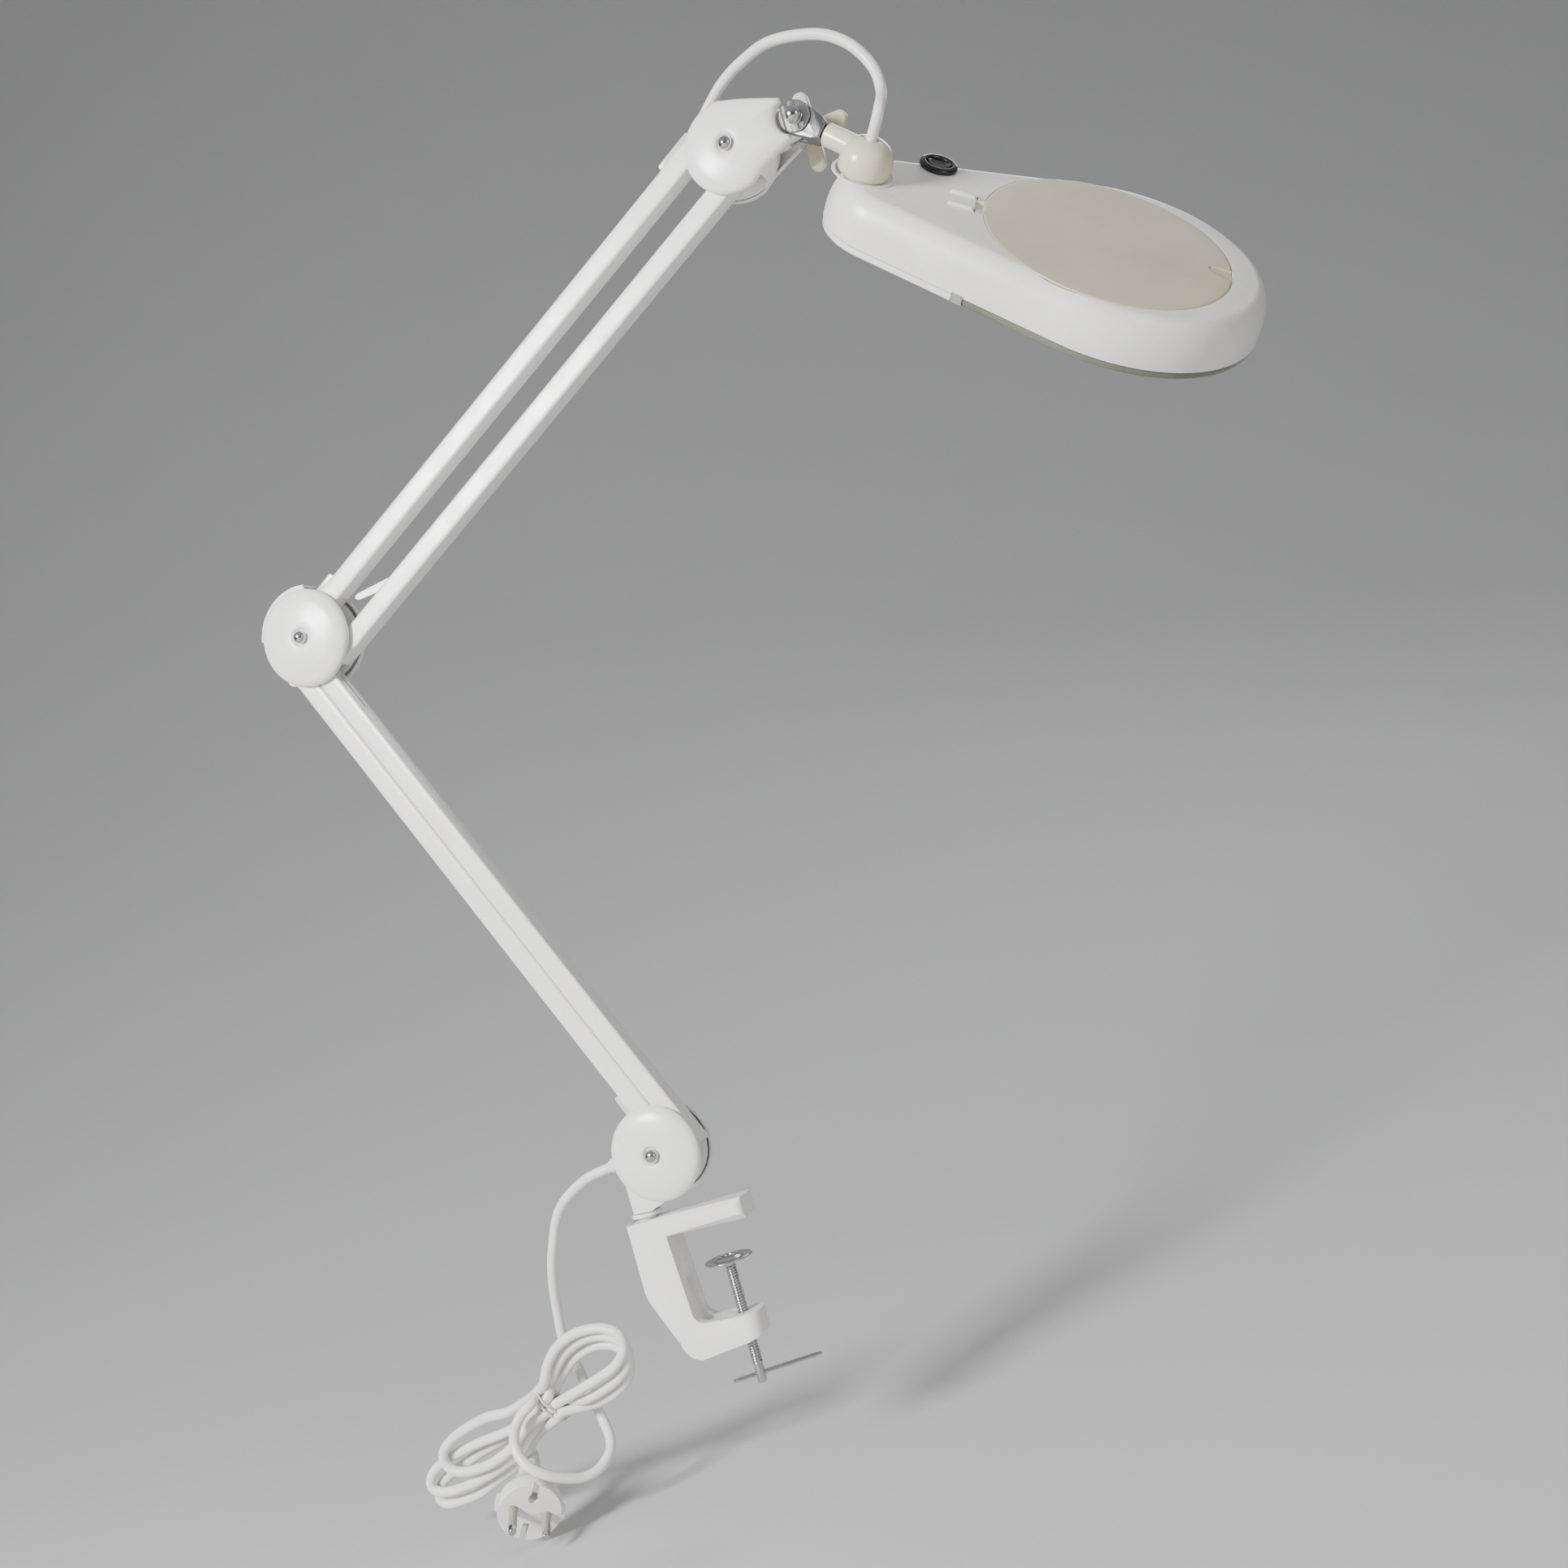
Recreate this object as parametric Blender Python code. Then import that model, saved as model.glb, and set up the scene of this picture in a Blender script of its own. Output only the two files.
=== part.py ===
"""Swing arm magnifier desk lamp: clamp, sprung double-tube arms, hinged head and mains lead.

World frame: +Z runs up the swivel post, the arms lie in the XZ plane, and the desk edge
enters the clamp from +X.  The origin lies on the underside of the clamp's top jaw.
"""
import math

import bmesh
import bpy
from mathutils import Matrix, Vector
from mathutils.geometry import tessellate_polygon

MM = 0.001
GAP = 0.3                      # clearance between touching pieces

# ---- driving dimensions, millimetres and degrees -------------------------------------
TUBE = 12.0                    # square arm tube, outside
TUBE_WALL = 1.2
TUBE_PITCH = TUBE + GAP        # lower tubes lie side by side
ARM_SPAN = 356.0               # pivot to pivot, both arms
TUBE_TAIL = 6.0                # tube beyond its pivot
LOWER_LEAN = -25.0             # lean of the lower arm from vertical, towards +X
UPPER_LEAN = 61.45

BASE_BOLT = (-18.4, 45.6)      # x, z of the bolt through the base caps
LOWER_MAIN_FOOT = (7.5, 11.0)  # across and along the lower arm, from the base bolt
LOWER_LINK_FOOT = (7.5 + TUBE_PITCH, -5.0)
ELBOW_FROM_FOOT = (19.8, 0.0)  # elbow bolt from the main tube's upper pivot
UPPER_MAIN_FOOT = (-7.7, 10.0)  # across and along the upper arm, from the elbow bolt
UPPER_LINK_FOOT = (20.8, 10.0)
HEAD_FROM_FOOT = (18.3, 8.0)   # head bolt from the main tube's upper pivot

PLATE_IN = TUBE / 2 + 0.4      # inner face of the bracket plates, from the middle plane
PLATE_OUT = PLATE_IN + 1.5
CAP_RIM = 8.2                  # cap rims, from the middle plane
CAP_RISE = 7.0
CAP_SHEET = 1.2
CAP_RECESS = 1.8               # depth of the nut's recess
BASE_CAP_RADIUS = 27.0
ELBOW_CAP_RADIUS = 29.2
SHROUD_IN = 30.2               # strip over the elbow's back, about the elbow bolt
SHROUD_OUT = 31.7
HEAD_CAP_RADIUS = 25.6
HEAD_NOTCH_RADIUS = 10.2       # round the knuckle, in the head caps
BOLT_RADIUS = 2.5
PIN_RADIUS = 2.0
NUT_RADIUS = 3.9

CLAMP_HALF_WIDTH = 11.0
CLAMP_TOP = 12.0               # thickness of the top jaw
JAW_DEPTH = -51.0              # lower bar's inner face
SPINE_OUT = -47.0
SPINE_IN = -25.0
SWIVEL_X = -38.0
SCREW_X = 3.0
SCREW_RADIUS = 3.0
PAD_TOP = -19.0
PAD_RADIUS = 14.0
TOMMY_Z = -86.0
TOMMY_TURN = 27.0              # bar's turn about the screw at rest
TOMMY_HALF = 26.0
TOMMY_SHIFT = 10.0             # bar's slide through the screw at rest

KNUCKLE = (38.7, 1.0)          # head tilt axis, x and z from the head bolt
STEM_DROP = 46.0               # stem's angle below horizontal
STEM_REACH = 44.3              # knuckle axis to the head's swivel axis
HEAD_ROLL = 34.0
HEAD_TURN = 22.0

HEAD_TOP = -11.0               # top face of the head below the stem's axis
HEAD_BOTTOM = -37.0
HEAD_WIDE = (148.0, 81.0)      # centre along the head, radius
HEAD_NARROW = (21.0, 37.0)
SHOULDER = (11.0, 22.0)        # rounding of the shell's edge: across the top, down the side
SHELL_WALL = 2.2
TOP_WALL = 3.4
RIM_THICKNESS = 4.0            # white plate and clear ring under the shell
LENS_CENTRE = 135.7
LENS_RADIUS = 63.2
RING_IN = 65.0                 # opening below the lens
BOARD_OUT = 72.6
COVER_RADIUS = 69.0
LIGHT_START = 63.0             # across the head, where the clear ring begins
COVER_SEAT = 1.6               # depth of the lid's recess in the shell
HINGE_U = LENS_CENTRE - COVER_RADIUS - 2.2
HINGE_N = HEAD_TOP - 0.4
SWITCH_AT = (37.5, 34.0)
SWITCH_RADIUS = 10.7
SWITCH_HOLE = 8.9
SWIVEL_RADIUS = 4.6            # hollow tube between dome and head
SWIVEL_TOP = -3.0

CORD_RADIUS = 3.0
CORD_STEP = 14.0
CORD_SPLIT = 1.0               # gap where the head cord changes from one body to the next
LEAD_EXIT = (-52.0, 0.0, 43.0)
PLUG_TOP = (-162.0, 15.0, -112.0)   # cord end of the plug's strain relief
PLUG_PINS = (0.356, -0.873, -0.335)
PLUG_ACROSS = (0.739, 0.483, -0.469)
PLUG_LENGTH = 53.0
PLUG_RADIUS = 18.2
PIN_SPACING = 19.0
PIN_LENGTH = 19.0

WHITE = ("white_paint", (0.80, 0.80, 0.78), 0.28, 0.0)
STEEL = ("zinc_steel", (0.58, 0.58, 0.57), 0.30, 1.0)
CHROME = ("chrome", (0.72, 0.72, 0.73), 0.12, 1.0)
CREAM = ("cream_plastic", (0.74, 0.71, 0.60), 0.32, 0.0)
COVER = ("beige_cover", (0.62, 0.59, 0.50), 0.42, 0.0)
SHELL = ("white_plastic", (0.80, 0.80, 0.77), 0.35, 0.0)
BLACK = ("black_plastic", (0.015, 0.015, 0.016), 0.25, 0.0)
CABLE = ("white_cable", (0.82, 0.82, 0.80), 0.42, 0.0)
GLASS = ("lens_glass", (0.85, 0.90, 0.88), 0.03, 0.0)
SMOKE = ("smoke_diffuser", (0.32, 0.33, 0.27), 0.20, 0.0)
BOARD = ("circuit_board", (0.75, 0.78, 0.74), 0.50, 0.0)


# ---- small tools ----------------------------------------------------------------------
def clear_scene():
    for obj in list(bpy.data.objects):
        bpy.data.objects.remove(obj, do_unlink=True)


def material(spec):
    name, colour, roughness, metallic = spec
    found = bpy.data.materials.get(name)
    if found:
        return found
    made = bpy.data.materials.new(name)
    made.use_nodes = True
    shader = made.node_tree.nodes["Principled BSDF"]
    shader.inputs["Base Color"].default_value = (*colour, 1.0)
    shader.inputs["Roughness"].default_value = roughness
    shader.inputs["Metallic"].default_value = metallic
    made.diffuse_color = (*colour, 1.0)
    return made


def frame_empty(name, matrix_mm):
    """An empty on a joint's axis; the matrix is in millimetres."""
    empty = bpy.data.objects.new(name, None)
    empty.empty_display_size = 0.01
    bpy.context.collection.objects.link(empty)
    place = matrix_mm.copy()
    place.translation = matrix_mm.translation * MM
    empty.matrix_world = place
    return empty


def make_object(name, verts, faces, spec, parent, smooth_angle=None):
    """Mesh object from millimetre coordinates in its parent's frame."""
    mesh = bpy.data.meshes.new(name)
    mesh.from_pydata([Vector(v) * MM for v in verts], [], faces)
    bm = bmesh.new()
    bm.from_mesh(mesh)
    bmesh.ops.recalc_face_normals(bm, faces=bm.faces)
    if smooth_angle:
        for face in bm.faces:
            face.smooth = True
        for edge in bm.edges:
            edge.smooth = edge.calc_face_angle(0.0) < math.radians(smooth_angle)
    bm.to_mesh(mesh)
    bm.free()
    obj = bpy.data.objects.new(name, mesh)
    mesh.materials.append(material(spec))
    bpy.context.collection.objects.link(obj)
    obj.parent = parent
    return obj


def signed_area(loop):
    return sum(a[0] * b[1] - b[0] * a[1] for a, b in zip(loop, loop[1:] + loop[:1])) / 2


def prism_mesh(loops, low, high):
    """Flat plate: outer loop and hole loops in (x, z), thickness along y."""
    wound = []
    for index, loop in enumerate(loops):
        turn = signed_area(loop) > 0
        wound.append(list(loop) if turn == (index == 0) else list(loop)[::-1])
    flat = [[Vector((x, z, 0.0)) for x, z in loop] for loop in wound]
    points = [p for loop in wound for p in loop]
    count = len(points)
    verts = [(x, low, z) for x, z in points] + [(x, high, z) for x, z in points]
    faces = []
    for tri in tessellate_polygon(flat):
        faces.append(tuple(tri))
        faces.append(tuple(i + count for i in reversed(tri)))
    start = 0
    for loop in wound:
        size = len(loop)
        for i in range(size):
            a = start + i
            b = start + (i + 1) % size
            faces.append((a, b, b + count, a + count))
        start += size
    return verts, faces


def prism(name, loops, low, high, spec, parent, smooth_angle=35):
    verts, faces = prism_mesh(loops, low, high)
    return make_object(name, verts, faces, spec, parent, smooth_angle)


def lathe_mesh(profile, segments, closed=True):
    """Turn (radius, height) points about +Z; radius 0 makes a pole."""
    verts = []
    rings = []
    for radius, height in profile:
        if radius == 0:
            rings.append([len(verts)])
            verts.append((0.0, 0.0, height))
            continue
        rings.append(list(range(len(verts), len(verts) + segments)))
        for k in range(segments):
            turn = 2 * math.pi * k / segments
            verts.append((radius * math.cos(turn), radius * math.sin(turn), height))
    faces = []
    pairs = list(zip(rings, rings[1:]))
    if closed:
        pairs.append((rings[-1], rings[0]))
    for lower, upper in pairs:
        if len(lower) == 1 and len(upper) == 1:
            continue
        for k in range(segments):
            n = (k + 1) % segments
            if len(lower) == 1:
                faces.append((lower[0], upper[k], upper[n]))
            elif len(upper) == 1:
                faces.append((lower[k], upper[0], lower[n]))
            else:
                faces.append((lower[k], upper[k], upper[n], lower[n]))
    return verts, faces


TO_Y = Matrix.Rotation(math.radians(-90), 4, "X")      # lathe axis +Z becomes +Y


def moved(verts, matrix):
    return [matrix @ Vector(v) for v in verts]


def lathe(name, profile, segments, spec, parent, place=None, smooth_angle=40):
    verts, faces = lathe_mesh(profile, segments)
    if place is not None:
        verts = moved(verts, place)
    return make_object(name, verts, faces, spec, parent, smooth_angle)


def loft_mesh(rings):
    """Closed solid through rings of equal size, ends filled."""
    size = len(rings[0])
    verts = [p for ring in rings for p in ring]
    faces = [tuple(range(size)), tuple(range(len(verts) - size, len(verts)))]
    for r in range(len(rings) - 1):
        for k in range(size):
            n = (k + 1) % size
            faces.append((r * size + k, r * size + n, (r + 1) * size + n, (r + 1) * size + k))
    return verts, faces


def turned_mesh(profile, count, start=0.13):
    """Solid through circles of (radius, height) along +z, with flat ends."""
    rings = [[(x, y, height) for x, y in circle(0, 0, radius, count, start)] for radius, height in profile]
    return loft_mesh(rings)


def combine(target, other, operation):
    """Boolean of another object, which stays in the file as a hidden cutter."""
    step = target.modifiers.new(operation.lower() + "_" + other.name, "BOOLEAN")
    step.operation = operation
    step.solver = "EXACT"
    step.object = other
    other.hide_render = True
    other.display_type = "WIRE"


def cut(target, other):
    combine(target, other, "DIFFERENCE")


def bevel(obj, width, segments=1, angle=40):
    step = obj.modifiers.new("bevel", "BEVEL")
    step.width = width * MM
    step.segments = segments
    step.limit_method = "ANGLE"
    step.angle_limit = math.radians(angle)


def circle(x, z, radius, count=16, start=0.0):
    turns = [start + 2 * math.pi * k / count for k in range(count)]
    return [(x + radius * math.cos(t), z + radius * math.sin(t)) for t in turns]


def arc(x, z, radius, first, last, count):
    """Points of an arc, angles in degrees from +x towards +z."""
    turns = [math.radians(first + (last - first) * k / (count - 1)) for k in range(count)]
    return [(x + radius * math.cos(t), z + radius * math.sin(t)) for t in turns]


def hull(points):
    """Convex outline round a set of (x, z) points."""
    ordered = sorted(set(points))
    chains = []
    for run in (ordered, ordered[::-1]):
        chain = []
        for p in run:
            while len(chain) > 1:
                a, b = chain[-2], chain[-1]
                turn = (b[0] - a[0]) * (p[1] - a[1]) - (b[1] - a[1]) * (p[0] - a[0])
                if turn > 1e-6:
                    break
                chain.pop()
            chain.append(p)
        chains += chain[:-1]
    return chains


def arm_axes(lean):
    turn = math.radians(lean)
    across = Vector((math.cos(turn), -math.sin(turn)))
    along = Vector((math.sin(turn), math.cos(turn)))
    return across, along


def arm_point(origin, lean, offset):
    across, along = arm_axes(lean)
    point = Vector(origin) + across * offset[0] + along * offset[1]
    return (point.x, point.y)


def added(first, second):
    return (first[0] + second[0], first[1] + second[1])


def subtracted(first, second):
    return (first[0] - second[0], first[1] - second[1])


def place_y(x, z, lean=0.0):
    turn = Matrix.Rotation(math.radians(lean), 4, "Y")
    return Matrix.Translation((x, 0.0, z)) @ turn


# ---- joint positions worked out from the driving dimensions ---------------------------
SPAN = (0.0, ARM_SPAN)
P_MAIN = arm_point(BASE_BOLT, LOWER_LEAN, LOWER_MAIN_FOOT)
P_LINK = arm_point(BASE_BOLT, LOWER_LEAN, LOWER_LINK_FOOT)
Q_MAIN = arm_point(P_MAIN, LOWER_LEAN, SPAN)
Q_LINK = arm_point(P_LINK, LOWER_LEAN, SPAN)
ELBOW_BOLT = arm_point(Q_MAIN, LOWER_LEAN, ELBOW_FROM_FOOT)
R_MAIN = arm_point(ELBOW_BOLT, UPPER_LEAN, UPPER_MAIN_FOOT)
R_LINK = arm_point(ELBOW_BOLT, UPPER_LEAN, UPPER_LINK_FOOT)
S_MAIN = arm_point(R_MAIN, UPPER_LEAN, SPAN)
S_LINK = arm_point(R_LINK, UPPER_LEAN, SPAN)
HEAD_BOLT = arm_point(S_MAIN, UPPER_LEAN, HEAD_FROM_FOOT)
KNUCKLE_AXIS = added(HEAD_BOLT, KNUCKLE)

STEM_FRAME = place_y(*KNUCKLE_AXIS, STEM_DROP)
DOME_FRAME = (STEM_FRAME @ Matrix.Translation((STEM_REACH, 0, 0))
              @ Matrix.Rotation(math.radians(HEAD_ROLL), 4, "X"))
HEAD_FRAME = DOME_FRAME @ Matrix.Rotation(math.radians(HEAD_TURN), 4, "Z")


# ---- parts used several times ---------------------------------------------------------
def dished_cap(name, outline, radius, side, spec, parent):
    """Pressed cap over a plate bracket: outline about the bolt, side -1 front or 1 rear."""
    count = len(outline)
    turns = [math.atan2(z, x) for x, z in outline]

    def ring(size):
        return [(size * math.cos(t), size * math.sin(t)) for t in turns]

    def inset(amount):
        scale = 1.0 - amount / radius
        return [(x * scale, z * scale) for x, z in outline]

    top = CAP_RIM + CAP_RISE
    seat = top - CAP_RECESS
    outer = [(inset(0.0), CAP_RIM), (inset(0.6), CAP_RIM + 2.2), (inset(3.2), top - 2.5),
             (inset(0.4 * radius), top - 0.6), (ring(5.0), top), (ring(4.5), seat), (ring(2.9), seat)]
    inner = [(ring(2.9), seat - CAP_SHEET), (ring(6.0), seat - CAP_SHEET), (inset(4.8), top - 3.5),
             (inset(1.4), CAP_RIM)]
    verts = []
    for loop, depth in outer + inner:
        verts += [(x, side * depth, z) for x, z in loop]
    faces = []
    rings = len(outer) + len(inner)
    for r in range(rings):
        for k in range(count):
            n = (k + 1) % count
            a = r * count
            b = ((r + 1) % rings) * count
            faces.append((a + k, a + n, b + n, b + k))
    return make_object(name, verts, faces, spec, parent, 50)


def bolt_and_nut(prefix, parent):
    """Domed-head bolt from the rear and an acorn nut in front, on the parent's y axis."""
    seat = CAP_RIM + CAP_RISE - CAP_RECESS
    head = seat + GAP
    bolt = [(0, -(seat + 2.2)), (2.0, -(seat + 2.2)), (BOLT_RADIUS, -(seat + 1.6)),
            (BOLT_RADIUS, head), (NUT_RADIUS, head), (NUT_RADIUS, head + 1.0),
            (3.1, head + 2.6), (1.6, head + 3.4), (0, head + 3.6)]
    lathe(prefix + "_bolt", bolt, 12, CHROME, parent, TO_Y)
    bore = BOLT_RADIUS + GAP
    nut = [(bore, -head), (NUT_RADIUS, -head), (NUT_RADIUS, -head - 1.2),
           (3.4, -head - 3.0), (1.9, -head - 4.2), (0, -head - 4.6),
           (0, -head - 3.4), (bore, -head - 2.6)]
    lathe(prefix + "_nut", nut, 12, CHROME, parent, TO_Y)


def pivot_pin(name, parent):
    """Riveted pin through two bracket plates and one tube."""
    end = PLATE_OUT + 0.9
    start = PLATE_OUT + 0.15
    profile = [(0, -end), (2.8, -end), (2.8, -start), (PIN_RADIUS, -start),
               (PIN_RADIUS, start), (2.8, start), (2.8, end), (0, end)]
    lathe(name, profile, 10, STEEL, parent, TO_Y)


def arm_tube(name, parent, lug=False):
    """Square tube along the parent's z axis with a pin hole near each end."""
    half = TUBE / 2
    inner = half - TUBE_WALL
    low = -TUBE_TAIL
    high = ARM_SPAN + TUBE_TAIL
    rings = []
    for size, height in ((half, low), (half, high), (inner, high), (inner, low)):
        nip = 0.9
        corners = []
        for sx, sy in ((1, 1), (-1, 1), (-1, -1), (1, -1)):
            first = (sx * size, sy * (size - nip), height)
            second = (sx * (size - nip), sy * size, height)
            corners += [first, second] if sx * sy > 0 else [second, first]
        rings.append(corners)
    verts = [p for ring in rings for p in ring]
    faces = []
    for r in range(4):
        for k in range(8):
            n = (k + 1) % 8
            a = r * 8
            b = ((r + 1) % 4) * 8
            faces.append((a + k, a + n, b + n, b + k))
    tube = make_object(name, verts, faces, WHITE, parent, 30)
    if lug:
        outline = [(-half + 0.4, 53.0), (-half + 0.4, 41.6), (-half - 5.6, 29.6),
                   (-half - 8.0, 28.6), (-half - 8.8, 31.2)]
        strap = prism(name + "_lug", [outline], -half, -half + TUBE_WALL, WHITE, parent)
        combine(tube, strap, "UNION")
    drill = turned_mesh([(PIN_RADIUS + GAP, -20), (PIN_RADIUS + GAP, 20)], 12)
    for index, height in enumerate((0.0, ARM_SPAN)):
        place = Matrix.Translation((0, 0, height)) @ TO_Y
        hole = make_object(f"{name}_drill_{index}", moved(drill[0], place), drill[1], STEEL, parent)
        cut(tube, hole)
    return tube


def coil_spring(name, parent, low, high, turns=9):
    """Balance spring inside a tube, along the parent's z axis, with straight ends."""
    radius = 3.3
    curve = bpy.data.curves.new(name, "CURVE")
    curve.dimensions = "3D"
    curve.bevel_depth = 0.6 * MM
    curve.bevel_resolution = 0
    curve.resolution_u = 1
    curve.render_resolution_u = 0
    curve.use_fill_caps = True
    points = [(0.0, 0.0, low - 14.0), (0.0, 0.0, low - 4.0)]
    steps = turns * 6
    for k in range(steps + 1):
        turn = 2 * math.pi * k / 6
        height = low + (high - low) * k / steps
        points.append((radius * math.cos(turn), radius * math.sin(turn), height))
    points += [(0.0, 0.0, high + 4.0), (0.0, 0.0, high + 14.0)]
    line = curve.splines.new("POLY")
    line.points.add(len(points) - 1)
    for spot, point in zip(line.points, points):
        spot.co = (*(Vector(point) * MM), 1.0)
    obj = bpy.data.objects.new(name, curve)
    curve.materials.append(material(STEEL))
    bpy.context.collection.objects.link(obj)
    obj.parent = parent
    return obj


def cable_guide(name, parent, low, high):
    """Cream strip that covers the cord where it leaves a tube, on the tube's -x side."""
    face = -TUBE / 2 - GAP
    crest = face - 3.2
    outline = [(face, low), (face, high), (crest + 1.4, high), (crest, high - 2.0),
               (crest, low + 2.0), (crest + 1.4, low)]
    prism(name, [outline], -4.0, 4.0, CREAM, parent)


def smooth_route(points):
    """Route points joined by a smooth curve and sampled at even steps."""
    route = [Vector(p) for p in points]
    route = [route[0] * 2 - route[1]] + route + [route[-1] * 2 - route[-2]]
    fine = []
    for a, b, c, d in zip(route, route[1:], route[2:], route[3:]):
        for k in range(24):
            t = k / 24
            fine.append(0.5 * (2 * b + (c - a) * t + (2 * a - 5 * b + 4 * c - d) * t * t
                               + (3 * b - a - 3 * c + d) * t ** 3))
    fine.append(route[-2])
    length = sum((q - p).length for p, q in zip(fine, fine[1:]))
    count = max(3, round(length / CORD_STEP))
    samples = [fine[0]]
    walked = 0.0
    for p, q in zip(fine, fine[1:]):
        walked += (q - p).length
        if walked >= length * len(samples) / count and len(samples) < count:
            samples.append(q)
    samples.append(fine[-1])
    return samples


def cord_curve(name, samples):
    """Round cord through sample points."""
    curve = bpy.data.curves.new(name, "CURVE")
    curve.dimensions = "3D"
    curve.bevel_depth = CORD_RADIUS * MM
    curve.bevel_resolution = 2
    curve.resolution_u = 1
    curve.render_resolution_u = 0
    curve.use_fill_caps = True
    line = curve.splines.new("POLY")
    line.points.add(len(samples) - 1)
    for spot, point in zip(line.points, samples):
        spot.co = (*(Vector(point) * MM), 1.0)
    line.use_smooth = True
    obj = bpy.data.objects.new(name, curve)
    curve.materials.append(material(CABLE))
    bpy.context.collection.objects.link(obj)
    return obj


# ---- clamp ----------------------------------------------------------------------------
def clamp_frame(parent):
    outline = [(SPINE_OUT, CLAMP_TOP), (SPINE_OUT, -31.0), (-34.0, -60.0)]
    outline += arc(-22.0, -58.5, 12.0, 200, 262, 5)
    outline += [(12.0, -65.0), (16.0, -62.5), (17.0, -58.5), (14.0, JAW_DEPTH - 3.0), (8.0, JAW_DEPTH)]
    outline += arc(SPINE_IN + 9.5, JAW_DEPTH + 7.0, 7.0, 270, 180, 5)
    outline += [(SPINE_IN, 0.0), (22.0, 0.0), (26.5, 3.5), (26.5, 9.0), (23.5, CLAMP_TOP)]
    frame = prism("clamp_frame", [outline], -CLAMP_HALF_WIDTH, CLAMP_HALF_WIDTH, WHITE, parent)
    for side in (-1, 1):
        stations = ((SPINE_OUT - 1.0, 0.2), (SPINE_IN - 2.0, 5.6), (30.0, 2.2))
        rings = []
        for x, drop in stations:
            high = CLAMP_TOP + 1.0
            edge = CLAMP_HALF_WIDTH + 1.0
            rings.append([(x, side * edge, CLAMP_TOP - drop - 1.0), (x, side * edge, high),
                          (x, side * (edge - drop - 2.0), high)])
        verts, faces = loft_mesh(rings)
        cut(frame, make_object(f"clamp_chamfer_{side + 1}", verts, faces, WHITE, parent))
    bevel(frame, 1.2, 2, 40)
    recess = [(SPINE_IN - 2.4, -24.0), (SPINE_IN + 12.0, -24.0), (SPINE_IN + 12.0, JAW_DEPTH - 1.5),
              (SPINE_IN + 1.0, JAW_DEPTH - 1.5)]
    cut(frame, prism("clamp_recess", [recess], -4.5, 4.5, WHITE, parent))
    post_hole = turned_mesh([(5.6, -26), (5.6, 20)], 20)
    place = Matrix.Translation((SWIVEL_X, 0, 0))
    cut(frame, make_object("clamp_post_hole", moved(post_hole[0], place), post_hole[1], WHITE, parent))
    screw_hole = turned_mesh([(SCREW_RADIUS + GAP, -80), (SCREW_RADIUS + GAP, -40)], 16)
    place = Matrix.Translation((SCREW_X, 0, 0))
    cut(frame, make_object("clamp_tap", moved(screw_hole[0], place), screw_hole[1], WHITE, parent))


def post_bush(parent):
    profile = [(4.3, -25.0), (5.3, -25.0), (5.3, CLAMP_TOP + GAP), (8.7, CLAMP_TOP + GAP),
               (8.7, CLAMP_TOP + 1.6), (7.9, CLAMP_TOP + 2.3), (4.3, CLAMP_TOP + 2.3)]
    lathe("post_bush", profile, 20, WHITE, parent, Matrix.Translation((SWIVEL_X, 0, 0)))


def clamp_pad(parent):
    top = PAD_TOP
    profile = [(2.4, top - 3.6), (6.0, top - 3.8), (PAD_RADIUS - 0.4, top - 2.6), (PAD_RADIUS, top - 2.0),
               (PAD_RADIUS - 0.6, top - 1.5), (8.6, top - 1.9), (7.0, top - 0.5), (5.6, top),
               (3.9, top), (3.9, top - 2.0), (2.4, top - 2.0)]
    lathe("clamp_pad", profile, 20, CHROME, parent)


def clamp_screw(parent):
    top = PAD_TOP
    profile = [(0, top - 0.5), (2.4, top - 0.5), (3.3, top - 1.0), (3.3, top - 1.6), (2.0, top - 1.7),
               (2.0, top - 4.2), (2.6, top - 4.2), (SCREW_RADIUS, top - 4.8), (SCREW_RADIUS, -90.0),
               (2.4, -91.0), (0, -91.0)]
    screw = lathe("clamp_screw", profile, 16, CHROME, parent)
    turn = Matrix.Translation((0, 0, TOMMY_Z)) @ Matrix.Rotation(math.radians(TOMMY_TURN), 4, "Z")
    drill = turned_mesh([(1.5, -8), (1.5, 8)], 10)
    place = turn @ Matrix.Rotation(math.radians(90), 4, "Y")
    cut(screw, make_object("screw_cross_hole", moved(drill[0], place), drill[1], CHROME, parent))


def tommy_bar(parent):
    """Loose bar through the screw's end, with swaged ends; along its frame's x axis."""
    stations = [(-1.0, 0.5, 1.0), (-0.985, 0.9, 1.7), (-0.93, 0.9, 1.8), (-0.89, 1.2, 1.2),
                (0.89, 1.2, 1.2), (0.93, 0.9, 1.8), (0.985, 0.9, 1.7), (1.0, 0.5, 1.0)]
    rings = []
    for share, flat, wide in stations:
        x = share * TOMMY_HALF + TOMMY_SHIFT
        rings.append([(x, wide * math.cos(t), flat * math.sin(t))
                      for t in (2 * math.pi * k / 10 for k in range(10))])
    verts, faces = loft_mesh(rings)
    make_object("tommy_bar", verts, faces, CHROME, parent, 50)


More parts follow.
